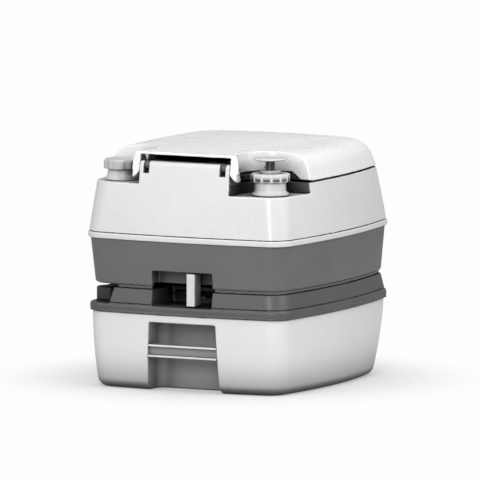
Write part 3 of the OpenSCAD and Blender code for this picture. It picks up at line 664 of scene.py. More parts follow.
# ------------------------------------------------------------------ pour spout
# A dark flat-sided duct that swings out of its corner on an upright trunnion, with a push-on cap
# on its end. An O-ring and a retaining ring hold the trunnion in the deck.
spout_low, spout_high = span("pour_spout")
cap_low, cap_high = span("spout_cap")
pivot = next(np.array(j["pos_m"]) / MM for j in frame["joints"] if j["name"] == "spout_swing")
SPOUT_R, TRUNNION_R, SPOUT_WALL = 19.0, 17.0, 2.4
SPOUT_FLOOR = CAVE_FLOOR + 1.5
SPOUT_LEN = 78.0


def duct(x, z, inset):
    mid, half = (SPOUT_FLOOR + spout_high[2]) / 2, (spout_high[2] - SPOUT_FLOOR) / 2
    return blend_cut(np.abs(x - pivot[0]) - SPOUT_R, np.abs(z - mid) - half, 9.5) + inset


def spout_rule(x, y, z):
    ahead = y - pivot[1]
    round_about = np.hypot(x - pivot[0], ahead)
    tube = blend_cut(duct(x, z, 0), np.maximum(-ahead, ahead - SPOUT_LEN), 0.6)
    drum = blend_cut(round_about - SPOUT_R, np.maximum(SPOUT_FLOOR - z, z - spout_high[2]), 2.5)
    post = np.maximum(round_about - TRUNNION_R, np.maximum(spout_low[2] - z, z - SPOUT_FLOOR - 2))
    body = np.minimum(np.minimum(tube, drum), post)
    bore = blend_cut(duct(x, z, SPOUT_WALL), -ahead, 1)
    well = np.maximum(round_about - TRUNNION_R + SPOUT_WALL, z - spout_high[2] + SPOUT_WALL)
    return blend_cut(blend_cut(body, -bore, 0.4), -well, 0.4)


spout = moulded(
    "pour_spout_duct", spout_rule,
    rulings(spout_low[0] - 2, spout_high[0] + 2, 1.1, 1.1, []),
    rulings(spout_low[1] - 2, spout_high[1] + 2, 2.2, 1.1, [(-182, -138), (-84, -79)]),
    rulings(spout_low[2] - 2, spout_high[2] + 2, 1.1, 1.1, []), relax=1)
place(spout, dark_fitting, "spout", "grey_fittings", "pour_spout")


def spout_cap_rule(x, y, z):
    ahead = y - pivot[1]
    lid_part = blend_cut(duct(x, z, 0), np.abs(ahead - SPOUT_LEN - 2.65) - 2.35, 1)
    plug = np.maximum(duct(x, z, SPOUT_WALL + 0.3), np.abs(ahead - SPOUT_LEN + 3) - 4)
    ribs = np.abs(np.mod(x - pivot[0] + 2, 4) - 2) - 0.6
    ribs = np.maximum(np.maximum(ribs, SPOUT_LEN + 4.2 - ahead), duct(x, z, 3))
    return np.minimum(blend_cut(lid_part, -ribs, 0.3), plug)


spout_cap = moulded(
    "spout_cap_plug", spout_cap_rule,
    rulings(cap_low[0] - 2, cap_high[0] + 2, 0.8, 0.8, []),
    rulings(cap_low[1] - 2, cap_high[1] + 2, 0.8, 0.8, []),
    rulings(cap_low[2] - 2, cap_high[2] + 2, 0.8, 0.8, []), relax=1)
place(spout_cap, dark_fitting, "spout_cap", "grey_fittings", "spout_cap")
dress("spout_ring", rubber)
dress("spout_retainer", dark_fitting)

# ------------------------------------------------------------------ grey half of the flush tank
# Rotationally moulded grey lower half. It stands on the deck by a shallow foot ring, and a notch
# in its hinge side leaves room for the valve pull.
base_low, base_high = span("flush_base")
BASE_Z, WAIST_Z = deck_high[2] + 5.0, base_high[2]
UNDER_Z = BASE_Z + 4.5
NOTCH_BACK, NOTCH_TOP = -176.5, BASE_Z + 25.7


def cave_gap(x, y):
    """The stretch of the foot ring that is left open over the cave and the spout."""
    over_cave = np.maximum(np.abs(x) - CAVE_HALF - 2, y)
    return np.minimum(over_cave, np.maximum(x - POCKET_X - 9, y - POCKET_Y - 4))


def flush_base_rule(x, y, z):
    up = (z - BASE_Z) / (WAIST_Z - BASE_Z)
    lean = 6 * (1 - up)
    skin = outline(x, y, lean, lean, lean + 3.5 * up)
    body = blend_cut(blend_cut(skin, BASE_Z - z, 4.5), z - WAIST_Z, 0.4)
    notch = blend_cut(blend_cut(np.abs(x) - CAVE_HALF, y - NOTCH_BACK, 3), z - NOTCH_TOP, 2.5)
    foot = blend_cut(skin + 2 * WALL, z - UNDER_Z, 1.5)
    inside = blend_cut(blend_cut(skin + 2 * WALL, UNDER_Z + WALL - z, 3), 1.5 * WALL - notch, 2)
    throat = np.hypot(x, y - OUTLET_Y) - OUTLET_R - 5.1
    for cut, radius in ((notch, 1.2), (foot, 0.8), (inside, 0.6), (throat, 0.6)):
        body = blend_cut(body, -cut, radius)
    ring = np.maximum(np.abs(skin + 5) - 2, np.abs(z - UNDER_Z + 3.4) - 5.6)
    body = np.minimum(body, blend_cut(blend_cut(ring, -notch, 0.8), -cave_gap(x, y), 0.8))
    pads = np.hypot(np.abs(x) - 120, np.where(y < 0, y + 100, y - 120)) - 10
    pads = blend_cut(pads, np.maximum(base_low[2] - z, z - UNDER_Z - 1), 0.8)
    return np.minimum(body, pads)


flush_base = moulded(
    "flush_base_moulding", flush_base_rule,
    rulings(-193, 193, 5, 1.6, [(-193, -145), (-58, -48), (48, 58), (145, 193)]),
    rulings(-209, 209, 5, 1.6, [(-209, -160), (160, 209)]),
    rulings(base_low[2] - 1.5, WAIST_Z + 1.5, 3.2, 1.2, [(158, 176), (187, 194), (235, 241)]), relax=2)
place(flush_base, tank_grey, "upper_tank", "grey_tank", "flush_base")
dress("waist_gasket", rubber, 0.0001)

# ------------------------------------------------------------------ white half of the flush tank
# White upper half with a half-round bead around the waist, a corner pocket each for the pump and
# the filler, and an upright panel between them that carries the hinge in two slots.
SHELL_Z = BASE_Z + 73 + 9.2 + 84.3
BEAD_H = 9.2
BEAD_Z = WAIST_Z + BEAD_H
SHELL_TAPER = 10.3
POCKET_R, CORNER_X, CORNER_Y = 48.0, 130.0, 150.0
FILL_Z, PUMP_Z = SHELL_Z - 4, SHELL_Z - 17
PANEL_X, PANEL_Z = 79.0, shell_high[2] - 2.5
hinge = next(np.array(j["pos_m"]) / MM for j in frame["joints"] if j["name"] == "lid_hinge")
PANEL_FRONT = hinge[1] + 13
SLOT_X, SLOT_HALF, SLOT_Z = 67.0, 5.0, hinge[2] - 12.5


def shell_skin(x, y, z):
    up = np.clip((z - BEAD_Z) / (SHELL_Z - BEAD_Z), 0, 1.6)
    lean = SHELL_TAPER * up ** 1.1 - 1.5
    return outline(x, y, lean, lean, lean + 4 + 6 * np.minimum(up, 1) ** 1.5)


def corner_plan(x, y):
    """Distance outside the plan of the open corners."""
    return blend_cut(PANEL_X + 0.5 - np.abs(x), y + CORNER_Y - POCKET_R, POCKET_R)


def corner_pocket(x, y, z):
    """The open corner around the pump (x above 0) or the filler."""
    return blend_cut(corner_plan(x, y), np.where(x > 0, PUMP_Z, FILL_Z) - z, 1.5)


def shell_rule(x, y, z):
    skin = shell_skin(x, y, z)
    wall = blend_cut(skin, np.maximum(z - SHELL_Z, WAIST_Z - z), 1.8)
    bead = outline(x, y, -BEAD_OUT, -BEAD_OUT, 4 - BEAD_OUT)
    bead = blend_cut(bead, np.abs(z - WAIST_Z - BEAD_H / 2) - BEAD_H / 2, 2.2)
    body = np.minimum(wall, bead)
    crease = np.maximum(-skin - 2.6, np.abs(z - BEAD_Z - 0.5) - 0.55)
    body = blend_cut(body, -crease, 0.3)
    panel = blend_cut(skin, z - PANEL_Z, 6.5)
    panel = blend_cut(panel, np.abs(x) - PANEL_X, 1.6)
    panel = blend_cut(panel, np.maximum(y - PANEL_FRONT, FILL_Z - 3 - z), 1)
    slot = blend_cut(np.abs(np.abs(x) - SLOT_X) - SLOT_HALF, SLOT_Z - z, 0.8)
    hollow = np.maximum(np.maximum(np.abs(x) - SLOT_X + SLOT_HALF + 5, y - PANEL_FRONT + WALL), 0)
    hollow = np.maximum(np.maximum(hollow, z - PANEL_Z + 2 * WALL), skin + WALL)
    panel = blend_cut(blend_cut(panel, -slot, 1.4), -hollow, 0.5)
    pocket = corner_pocket(x, y, z)
    inside = skin + WALL + 3 * np.clip((SHELL_Z - 5 - z) / 8, 0, 1)
    floor_z = np.where(x > 0, PUMP_Z, FILL_Z)
    floor_slab = np.maximum(corner_plan(x, y) - 1, np.abs(z - floor_z + WALL) - WALL)
    inside = np.maximum(inside, -floor_slab)
    rim_radius = 1.2 + 2.0 * np.exp(-np.abs(z - floor_z) / 4)
    body = blend_cut(body, -inside, 0.6)
    body = blend_cut(body, -pocket, rim_radius)
    body = np.minimum(body, np.maximum(panel, -hollow))
    bore = np.hypot(np.abs(x) - CORNER_X, y + CORNER_Y) - np.where(x > 0, 17.2, 19.0)
    return blend_cut(body, -bore, 0.6)


upper = moulded(
    "upper_moulding", shell_rule,
    rulings(-194, 194, 4, 1.5, [(-194, -142), (-83, -58), (58, 83), (142, 194)]),
    rulings(-210, 207, 4, 1.5, [(-210, -150), (-106, -98), (158, 207)]),
    np.union1d(rulings(WAIST_Z - 1.5, BEAD_Z - 2, 4, 1.3, [(237, 245)]), np.union1d(
        np.arange(BEAD_Z - 1.2, BEAD_Z + 2.2, 0.45),
        rulings(BEAD_Z + 3, PANEL_Z + 2, 4, 1.3, [(308, 370)]))), relax=1)
upper_white = moulding_material(
    "white_upper_moulding", (0.745, 0.745, 0.745), (0.71, 0.71, 0.71), (0.83, 0.83, 0.825),
    (0.45, 0.43, 0.4), (0.24, 0.34), depth=0.000008, film_and_shade=0.3, scratch=0.06, floor_line=0.001)
place(upper, upper_white, "upper_tank", "white_tank", "upper_shell")

# ------------------------------------------------------------------ seat deck
# Dark grey insert welded into the white half: the top plate around the bowl and the curved walls
# that drop into the two corner pockets.
bowl_low, bowl_high = span("bowl")
BOWL_RX, BOWL_RY, BOWL_Y = 130.0, 143.0, 22.0


def oval(x, y, rx, ry):
    d = np.hypot(x / rx, (y - BOWL_Y) / ry)
    return (d - 1) * min(rx, ry)


def seat_deck_rule(x, y, z):
    skin = shell_skin(x, y, z)
    plate = np.abs(z - SHELL_Z + 0.25 + WALL / 2) - WALL / 2
    plan = corner_plan(x, y)
    body = np.maximum(np.maximum(plate, -plan), skin + WALL + 0.2)
    drop = np.maximum(np.abs(plan - 1) - 1.8, np.maximum(z - SHELL_Z + 0.25, skin + 0.9))
    drop = np.maximum(drop, np.where(x > 0, PUMP_Z, FILL_Z) + 0.3 - z)
    body = blend_join(body, drop, 0.5)
    behind = np.maximum(np.abs(x) - PANEL_X, y - PANEL_FRONT - 0.3)
    body = blend_cut(body, -behind, 0.3)
    return blend_cut(body, -oval(x, y, BOWL_RX + 0.3, BOWL_RY + 0.3), 0.6)


deck_plate = moulded(
    "seat_deck_moulding", seat_deck_rule,
    rulings(-178, 178, 4, 1.3, [(-178, -118), (-88, -78), (78, 88), (118, 178)]),
    rulings(-198, 188, 4, 1.3, [(-198, -96), (150, 188)]),
    rulings(PUMP_Z - 2, SHELL_Z + 2, 1.1, 1.1, []), relax=2)
seat_grey = moulding_material(
    "dark_grey_deck_plastic", (0.14, 0.14, 0.142), (0.12, 0.12, 0.122), (0.2, 0.2, 0.2),
    (0.15, 0.145, 0.135), (0.34, 0.46), grain=1300, depth=0.00004, film_and_shade=0.2, floor_line=0.001)
place(deck_plate, seat_grey, "upper_tank", "grey_tank", "seat_deck")

# ------------------------------------------------------------------ bowl and its outlet
# Polished white bowl that narrows to the round outlet over the slide valve, with a rim that
# laps over the seat deck. The flush nozzle enters high on its wall.


def woven(count, rows, closed=True):
    """Quads between rings of points that each hold count points."""
    faces = []
    for k in range(rows - 1):
        for i in range(count if closed else count - 1):
            j = (i + 1) % count
            faces.append((k * count + i, k * count + j, (k + 1) * count + j, (k + 1) * count + i))
    return faces


def ring_stack(name, rings):
    """A closed tube wall through a loop of rings: up the outside and down the inside."""
    count = len(rings[0])
    faces = woven(count, len(rings) + 1)
    total = count * len(rings)
    faces = [tuple(v % total for v in f) for f in faces]
    return mesh_piece(name, np.concatenate(rings), faces)


def bowl_ring(up, inset, lift=0.0, steps=128):
    swell = 1 - (1 - up) ** 2
    a = np.linspace(0, 2 * math.pi, steps, endpoint=False)
    rx = OUTLET_R + 5 + (BOWL_RX - OUTLET_R - 5) * swell - inset
    ry = OUTLET_R + 5 + (BOWL_RY - OUTLET_R - 5) * swell - inset
    cy = OUTLET_Y + (BOWL_Y - OUTLET_Y) * up
    z = bowl_low[2] + (SHELL_Z + 0.5 - bowl_low[2]) * up + lift
    return np.stack([rx * np.cos(a), cy + ry * np.sin(a), np.full(steps, z)], 1)


climb = np.linspace(0, 0.985, 24) ** 0.8
rings = [bowl_ring(u, 0) for u in climb]
rings += [bowl_ring(1, -1, -0.4), bowl_ring(1, -5, -0.3), bowl_ring(1, -6, 0.1), bowl_ring(1, -5.8, 0.9),
          bowl_ring(1, -5, 1.3), bowl_ring(1, 0, 1.3), bowl_ring(1, 1.8, 0.9), bowl_ring(1, 3, -0.6)]
rings += [bowl_ring(u, 3 + 2 * max(0, 0.15 - u) / 0.15) for u in climb[::-1]]
bowl_piece = ring_stack("bowl_liner", rings)
bowl_white = moulding_material(
    "polished_bowl_plastic", (0.80, 0.80, 0.79), (0.77, 0.77, 0.76), (0.84, 0.84, 0.83),
    (0.55, 0.53, 0.48), (0.12, 0.2), grain=400, depth=0.000006, rub=0.2, film_and_shade=0.15, floor_line=0.001)
place(bowl_piece, bowl_white, "upper_tank", "white_bowl", "bowl")
dress("bowl_outlet", bowl_white, 0.0006)
dress("flush_nozzle", bowl_white, 0.0003)
dress("flush_hose", tank_grey, 0.0002)

# ------------------------------------------------------------------ filler neck and screw cap
# A tapered white neck stands in the left pocket, with a black gasket and a screw cap whose side
# has ten broad facets for the hand.


def eased(corners, steps=4):
    """A profile of (radius, height, rounding) corners with each corner turned into an arc."""
    path = []
    n = len(corners)
    for i, (r, z, size) in enumerate(corners):
        here = np.array([r, z], float)
        if size == 0:
            path.append(here)
            continue
        a = np.array(corners[i - 1][:2], float) - here
        b = np.array(corners[(i + 1) % n][:2], float) - here
        la, lb = np.linalg.norm(a), np.linalg.norm(b)
        a, b = a / la, b / lb
        half = math.acos(max(-1, min(1, float(a @ b)))) / 2
        cut = min(size / math.tan(half), 0.48 * la, 0.48 * lb)
        true = cut * math.tan(half)
        centre = here + (a + b) / np.linalg.norm(a + b) * true / math.sin(half)
        p, q = here + a * cut - centre, here + b * cut - centre
        for t in np.linspace(0, 1, steps + 1):
            d = p * (1 - t) + q * t
            path.append(centre + d / np.linalg.norm(d) * true)
    return np.array(path)


def turned(name, x, y, profile, steps=96, shape=None):
    """A piece of revolution about an upright axis. A shape rule may move its radius and height
    with the angle. A profile that starts on the axis is open there; any other is a closed loop."""
    a = np.linspace(0, 2 * math.pi, steps, endpoint=False)
    rings = []
    for r, z in profile:
        radius, height = np.full(steps, r), np.full(steps, z)
        if shape is not None:
            radius, height = shape(a, radius, height)
        rings.append(np.stack([x + radius * np.cos(a), y + radius * np.sin(a), height], 1))
    on_axis = profile[0][0] < 1e-6
    if not on_axis:
        return ring_stack(name, rings)
    points = np.concatenate([rings[0][:1], *rings[1:-1], rings[-1][:1]])
    rows = len(rings) - 2
    faces = [tuple(1 + v for v in f) for f in woven(steps, rows)]
    last = 1 + (rows - 1) * steps
    for i in range(steps):
        j = (i + 1) % steps
        faces.append((0, 1 + j, 1 + i))
        faces.append((last + i, last + j, len(points) - 1))
    return mesh_piece(name, points, faces)


neck_low, neck_high = span("fill_neck")
fcap_low, fcap_high = span("fill_cap")
CAP_R = (fcap_high[0] - fcap_low[0]) / 2
THREAD_R, NECK_BORE = CAP_R - 8.5, CAP_R - 14
neck_top = FILL_Z + 17
neck_profile = eased([
    (NECK_BORE, neck_low[2], 0.4), (CAP_R - 11.6, neck_low[2], 0.4), (CAP_R - 11.6, FILL_Z, 0.3),
    (THREAD_R + 5.5, FILL_Z, 0.5), (THREAD_R + 4.6, FILL_Z + 2, 1.2), (THREAD_R + 2.2, FILL_Z + 9, 6),
    (THREAD_R + 0.8, neck_top, 0.5), (THREAD_R, neck_top + 0.2, 0.2), (THREAD_R, neck_high[2], 0.8),
    (NECK_BORE, neck_high[2], 0.8)])
neck = turned("fill_neck_turned", -CORNER_X, -CORNER_Y, neck_profile[::-1])
cap_white = moulding_material(
    "white_cap_plastic", (0.74, 0.74, 0.74), (0.70, 0.70, 0.70), (0.82, 0.82, 0.815),
    (0.42, 0.4, 0.37), (0.26, 0.36), grain=1200, depth=0.000012, rub=0.7, film_and_shade=0.4, floor_line=0.001)
place(neck, cap_white, "upper_tank", "white_caps", "fill_neck")

FACETS = 10


def cap_shape(a, radius, height):
    """Flat facets with soft corners. Every second facet is set back, to grip the cap."""
    step = 2 * math.pi / FACETS
    off = np.abs(np.mod(a, step) - step / 2)
    flat = np.minimum(math.cos(step / 2) / np.cos(off), 0.992)
    turn = np.cos(a * FACETS / 2 + 0.4)
    back = 0.5 - 0.5 * np.clip(turn * 5, -1, 1)
    grip = np.clip((radius - CAP_R + 5) / 3, 0, 1) * (height < fcap_high[2] - 1.2)
    return radius * (1 + (flat - 1 - 0.05 * back) * grip), height


cap_profile = eased([
    (0, fcap_low[2] + 12, 0), (THREAD_R + 0.3, fcap_low[2] + 12, 0.5),
    (THREAD_R + 0.3, fcap_low[2], 0.5),
    (CAP_R - 0.8, fcap_low[2], 1.2), (CAP_R, fcap_low[2] + 1.5, 0.8), (CAP_R, fcap_high[2] - 3.6, 1.6),
    (CAP_R - 3.6, fcap_high[2] - 0.9, 1.8), (CAP_R - 12, fcap_high[2], 6), (0, fcap_high[2], 0)])
fill_cap = turned("fill_cap_turned", -CORNER_X, -CORNER_Y, cap_profile, 240, cap_shape)
cap_ivory = moulding_material(
    "off_white_cap_plastic", (0.52, 0.52, 0.52), (0.48, 0.48, 0.48), (0.63, 0.63, 0.63),
    (0.4, 0.385, 0.36), (0.3, 0.4), grain=1200, depth=0.000012, rub=0.7, film_and_shade=0.4, floor_line=0.001)
place(fill_cap, cap_ivory, "fill_cap", "white_caps", "fill_cap")
dress("fill_gasket", rubber, 0.0001)

# ------------------------------------------------------------------ flush pump
# A piston pump stands in the right pocket: flanged collar, ring nut with twelve flats, gland,
# dark rod and a shallow white dish as its knob.
collar_low, collar_high = span("pump_collar")
nut_low, nut_high = span("pump_nut")
gland_low, gland_high = span("pump_gland")
knob_low, knob_high = span("pump_knob")
rod_low, rod_high = span("pump_rod")
NUT_R = (nut_high[0] - nut_low[0]) / 2
BARREL_R, ROD_R, GLAND_R = 17.0, 7.5, 16.5
KNOB_R = (knob_high[0] - knob_low[0]) / 2

collar_profile = eased([
    (BARREL_R + 0.1, collar_low[2], 0.3), (NUT_R - 2, collar_low[2], 0.4),
    (NUT_R - 1.2, collar_low[2] + 1.2, 1.0), (NUT_R - 1.6, collar_low[2] + 3.6, 1.0),
    (NUT_R - 4.6, collar_low[2] + 5.4, 2), (NUT_R - 5.9, collar_low[2] + 8, 3),
    (NUT_R - 6.1, collar_high[2], 0.4), (BARREL_R + 0.1, collar_high[2], 0.3)])
collar = turned("pump_collar_turned", CORNER_X, -CORNER_Y, collar_profile[::-1])
place(collar, cap_white, "upper_tank", "white_caps", "pump_collar")


def nut_shape(a, radius, height):
    """Twelve flats with a thin raised rib at each crest, and lower edges that scallop."""
    step = 2 * math.pi / 12
    off = np.abs(np.mod(a, step) - step / 2)
    crest = step / 2 - off
    flat = math.cos(step / 2) / np.cos(off)
    rib = np.exp(-(crest / 0.035) ** 2)
    grip = np.clip((radius - NUT_R + 6) / 3, 0, 1)
    shrink = (flat - 1) * 0.9 - 0.012 + rib * 0.012
    raised = 0.9 * np.clip(crest / (step / 2), 0, 1) * grip * (height < nut_low[2] + 2)
    return radius * (1 + np.minimum(shrink, 0) * grip), height + raised


nut_profile = eased([
    (BARREL_R + 0.2, nut_low[2], 0.3), (NUT_R - 1.2, nut_low[2], 1.2), (NUT_R, nut_low[2] + 1.8, 1.2),
    (NUT_R, nut_high[2] - 1.6, 1.5), (NUT_R - 2.4, nut_high[2], 1.5), (GLAND_R + 0.2, nut_high[2], 0.6)])
nut = turned("pump_nut_turned", CORNER_X, -CORNER_Y, nut_profile[::-1], 240, nut_shape)
place(nut, cap_white, "upper_tank", "white_caps", "pump_nut")

gland_profile = eased([
    (ROD_R + 0.1, gland_low[2], 0.3), (GLAND_R, gland_low[2], 0.3), (GLAND_R, gland_high[2], 1.6),
    (ROD_R + 0.1, gland_high[2], 0.8)])
gland = turned("pump_gland_turned", CORNER_X, -CORNER_Y, gland_profile[::-1])
place(gland, cap_white, "upper_tank", "white_caps", "pump_gland")

rod_grey = moulding_material(
    "pump_rod_plastic", (0.1, 0.1, 0.102), (0.08, 0.08, 0.082), (0.16, 0.16, 0.16),
    (0.2, 0.19, 0.18), (0.2, 0.3), grain=700, depth=0.000008, floor_line=0.001)
rod_profile = eased([
    (0, rod_low[2], 0), (ROD_R, rod_low[2], 0.8), (ROD_R, rod_high[2], 0.2), (0, rod_high[2], 0)])
rod = turned("pump_rod_turned", CORNER_X, -CORNER_Y, rod_profile, 64)
place(rod, rod_grey, "pump", "pump_plastic", "pump_rod")


def knob_shape(a, radius, height):
    """Shallow scallops around the rim for the fingertips."""
    out = np.clip((radius - KNOB_R + 5) / 5, 0, 1)
    wave = 0.5 - 0.5 * np.cos(12 * a)
    notch = np.clip(wave - 0.45, 0, 1) * 1.8
    return radius - 1.5 * notch * out, height - 0.4 * notch * out * (height > knob_low[2] + 2.5)


knob_profile = eased([
    (0, knob_low[2], 0), (KNOB_R - 5, knob_low[2], 2), (KNOB_R, knob_low[2] + 1.8, 1.0),
    (KNOB_R, knob_low[2] + 2.6, 0.6), (KNOB_R - 2.6, knob_high[2] - 0.3, 0.8),
    (KNOB_R - 4, knob_high[2] - 0.2, 0.6), (KNOB_R - 6, knob_high[2] - 1.4, 1.5),
    (6, knob_high[2] - 2.0, 6), (0, knob_high[2] - 2.1, 0)])
knob = turned("pump_knob_turned", CORNER_X, -CORNER_Y, knob_profile, 240, knob_shape)
knob_white = moulding_material(
    "white_knob_plastic", (0.58, 0.58, 0.58), (0.55, 0.55, 0.55), (0.67, 0.67, 0.67),
    (0.5, 0.48, 0.45), (0.18, 0.26), grain=1200, depth=0.00001, floor_line=0.001)
place(knob, knob_white, "pump", "white_caps", "pump_knob")
for node in ("pump_barrel", "foot_valve", "pump_piston"):
    dress(node, rod_grey, 0.0003)
dress("piston_seal", rubber, 0.0002)

# ------------------------------------------------------------------ seat
# Grey ring seat with a crowned top and a rounded hole, carried on two arms that curl down into
# the hinge slots and end in round knuckles on the steel pins.
seat_low, seat_high = span("seat")
SEAT_Z = SHELL_Z + 2.5
SEAT_TOP = SEAT_Z + 12.5
ARM_HALF = 4.5


def seat_rule(x, y, z):
    plan = blend_cut(outline(x, y, 18, 18, 27.5, 30), -(y + 156), 14)
    pocket = blend_cut(CORNER_X - POCKET_R - np.abs(x), y + CORNER_Y - POCKET_R, POCKET_R) - 4
    plan = blend_cut(plan, -pocket, 4)
    hole = oval(x, y, BOWL_RX - 18, BOWL_RY - 18)
    crown = SEAT_TOP - 4.5 * np.exp(-np.maximum(hole, 0) / 14)
    slab = blend_cut(np.maximum(plan, -hole), z - crown, 4.5)
    slab = blend_cut(slab, SEAT_Z - z, 1.5)
    slab = blend_cut(slab, -(blend_cut(blend_cut(plan + 5, -hole + 5, 3), z - SEAT_Z - 7, 2)), 0.8)
    across = np.abs(np.abs(x) - SLOT_X) - ARM_HALF
    ahead = np.clip((y - hinge[1]) / 32, 0, 1)
    spine = hinge[2] - 2 - 9.5 * ahead ** 1.3
    strap = np.maximum(np.abs(z - spine) / 1.06 - 5.2 + 1.5 * ahead, y - hinge[1] - 40)
    arm = blend_cut(blend_cut(across, strap, 1.2), hinge[1] + 1 - y, 1)
    knuckle = blend_cut(across, np.hypot(y - hinge[1], z - hinge[2]) - 8, 1.2)
    pin = np.hypot(y - hinge[1], z - hinge[2]) - 3.08
    arm = blend_cut(blend_join(arm, knuckle, 1.5), -pin, 0.3)
    return blend_join(slab, arm, 2.5)


seat = moulded(
    "seat_ring", seat_rule,
    rulings(-174, 174, 3.2, 1.2, [(-73, -61), (61, 73)]),
    rulings(-192, 180, 3.2, 1.3, [(-192, -150)]),
    rulings(SEAT_Z - 1.5, seat_high[2] + 1.5, 1.1, 1.1, []), relax=2)
seat_plastic = moulding_material(
    "grey_seat_plastic", (0.115, 0.115, 0.117), (0.1, 0.1, 0.102), (0.17, 0.17, 0.17),
    (0.16, 0.155, 0.145), (0.24, 0.34), grain=1300, depth=0.00002, floor_line=0.001)
place(seat, seat_plastic, "seat", "grey_seat", "seat")
dress("seat_buffers", rubber, 0.0008)

# ------------------------------------------------------------------ lid
# White crowned lid. Its hinge-side corners are scooped out to reach the pump and the filler, and
# what is left between scoop and hinge panel hangs down as two narrow ears on the pins.
lid_high = span("lid")[1]
LID_Z, TOP_Z = SHELL_Z + 4, lid_high[2]
LID_RIM = SHELL_TAPER - 1.4
LID_FRONT = 10.2
EDGE_R = 36.0
SHOULDER = 42.5
NOSE_R = 22.0
LEAN = 0.3
BROW_Z = shell_high[2] + 7.6
BROW_HALF = PANEL_X + 0.3
EAR_X = 93.0
SCOOP_LOW, SCOOP_HIGH = POCKET_R - 2, POCKET_R + 7
LID_LOW = LID_Z - 1.2
CORNER_EDGE = POCKET_R - CORNER_Y


def scoop_space(x, y, z):
    """The flared scoop around the pump or the filler, open to the corner."""
    r = SCOOP_LOW + (SCOOP_HIGH - SCOOP_LOW) * (z - LID_Z) / (TOP_Z - LID_Z)
    dx, dy = np.abs(x) - CORNER_X, y + CORNER_Y
    bowl_part = np.hypot(dx, dy) - r
    wide = np.maximum(-dx, dy - r)
    toward = np.maximum(EAR_X - np.abs(x), dy)
    return blend_join(np.minimum(bowl_part, wide), toward, 3) / 1.02


def lid_outer_rule(x, y, z):
    h = z - LID_Z
    bend_h = SHOULDER - EDGE_R
    bend_in = EDGE_R * math.hypot(1, LEAN) + LEAN * bend_h
    bend_low = bend_h + EDGE_R * LEAN / math.hypot(1, LEAN)
    drop = np.sqrt(np.maximum(EDGE_R ** 2 - np.clip(h - bend_h, 0, None) ** 2, 6.0))
    arc = bend_in - drop
    straight = LEAN * h
    inset = np.where(h > bend_low, arc, straight)
    rise = np.clip(h - SHOULDER + NOSE_R, 0, NOSE_R - 0.1)
    nose = NOSE_R * math.hypot(1, LEAN) + LEAN * (SHOULDER - NOSE_R) - np.sqrt(NOSE_R ** 2 - rise ** 2)
    nose = np.where(rise > NOSE_R * LEAN / math.hypot(1, LEAN), nose, straight)
    steep = np.where(h > bend_low, np.clip(h - bend_h, 0, None) / drop, LEAN)
    sides = outline(x, y, LID_RIM + inset, -30 + 0 * inset, LID_RIM + LID_FRONT + nose)
    sides = sides / np.sqrt(1 + steep ** 2)
    top = z - TOP_Z - 0.5 - 0.012 * y + 3.4 * (x / 158) ** 2
    dome = blend_cut(sides, top, 9)
    bow = FACE_BOW * (1 - (x / (HALF_W - SIDE_BOW - LID_RIM)) ** 2)
    rear = -(y + HALF_D - LID_RIM - FACE_BOW) - bow + 0.19 * h
    return blend_cut(dome, rear / 1.02, 3.5)


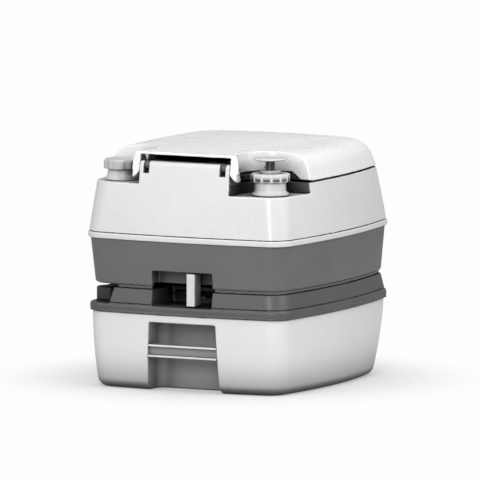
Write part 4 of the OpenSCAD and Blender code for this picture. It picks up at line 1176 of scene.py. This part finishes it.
def lid_rule(x, y, z):
    outer = lid_outer_rule(x, y, z)
    body = blend_cut(outer, LID_LOW - z, 1.0)
    scoop = scoop_space(x, y, z)
    brow = blend_cut(blend_cut(np.abs(x) - BROW_HALF, z - BROW_Z, 1.0), y - hinge[1] - 18, 1)
    reach = corner_plan(x, y) - 4
    trim = LID_Z + 12 * np.clip((160 - np.abs(x)) / 16, 0, 1)
    skirt = np.maximum(blend_cut(reach, EAR_X - 1.5 - np.abs(x), 2), (z - trim) / 1.2)
    stout = WALL + 2.6 * np.clip((z - LID_Z - 10) / 8, 0, 1)
    inside = blend_cut(outer + stout, z - BROW_Z - 1, 8)
    inside = blend_cut(inside, WALL - scoop, 3)
    ear = np.maximum(np.abs(np.abs(x) - BROW_HALF - 5) - 5, y - hinge[1] - 14)
    inside = blend_cut(inside, 0.5 - ear, 1)
    body = blend_cut(body, -scoop, 2)
    body = blend_cut(body, -skirt, 1.2)
    body = blend_cut(body, -inside, 0.8)
    tip = LID_Z - 1 + ((y + 184) / 15) ** 2 * 9 + np.clip(EAR_X - np.abs(x), 0, 99) ** 2 * 0.06
    tip = np.minimum(tip, LID_Z + 12)
    hung = np.where(np.abs(np.abs(x) - EAR_X + 7) < 9, 1, 0) * np.where(y < CORNER_EDGE, 1, 0)
    body = np.where(hung > 0, blend_cut(body, tip - z, 1), body)
    body = blend_cut(body, -brow, 0.9)
    pin = np.hypot(y - hinge[1], z - hinge[2]) - 3.08
    return blend_cut(body, -np.maximum(pin, np.abs(x) - BROW_HALF - 12.5), 0.2)


lid = moulded(
    "lid_cover", lid_rule,
    rulings(-182, 182, 2.4, 1.6, [(-182, -150), (-98, -76), (76, 98), (150, 182)]),
    rulings(-200, 192, 2.4, 1.6, [(-200, -160), (168, 192)]),
    rulings(LID_Z - 2, TOP_Z + 2, 1.5, 1.5, []), relax=2)
lid_white = moulding_material(
    "white_lid_plastic", (0.85, 0.85, 0.85), (0.82, 0.82, 0.82), (0.9, 0.9, 0.9),
    (0.5, 0.48, 0.45), (0.24, 0.34), grain=1400, depth=0.000005, film_and_shade=0.2, scratch=0.05,
    floor_line=0.001)
place(lid, lid_white, "lid", "white_lid", "lid")

pad_low, pad_high = span("lid_buffers")
PAD_R = 5.0


def lid_buffer_rule(x, y, z):
    """Four round pads that end inside the wall of the lid."""
    middle = (pad_low[1] + pad_high[1]) / 2
    near_y = np.where(y < middle, y - pad_low[1] - PAD_R, y - pad_high[1] + PAD_R)
    pad = np.hypot(np.abs(x) - pad_high[0] + PAD_R, near_y) - PAD_R
    pad = blend_cut(pad, np.maximum(pad_low[2] - z, z - pad_high[2]), 0.8)
    return np.maximum(pad, lid_outer_rule(x, y, z) + WALL / 2)


lid_pads = moulded(
    "lid_buffer_pads", lid_buffer_rule,
    rulings(pad_low[0] - 1, pad_high[0] + 1, 8, 0.9,
            both_ways([(pad_high[0] - 12, pad_high[0] + 1)])),
    rulings(pad_low[1] - 1, pad_high[1] + 1, 8, 0.9,
            [(pad_low[1] - 1, pad_low[1] + 12), (pad_high[1] - 12, pad_high[1] + 1)]),
    rulings(pad_low[2] - 1, pad_high[2] + 1, 1, 1, []), relax=1)
place(lid_pads, rubber, "lid", "rubber", "lid_buffers")
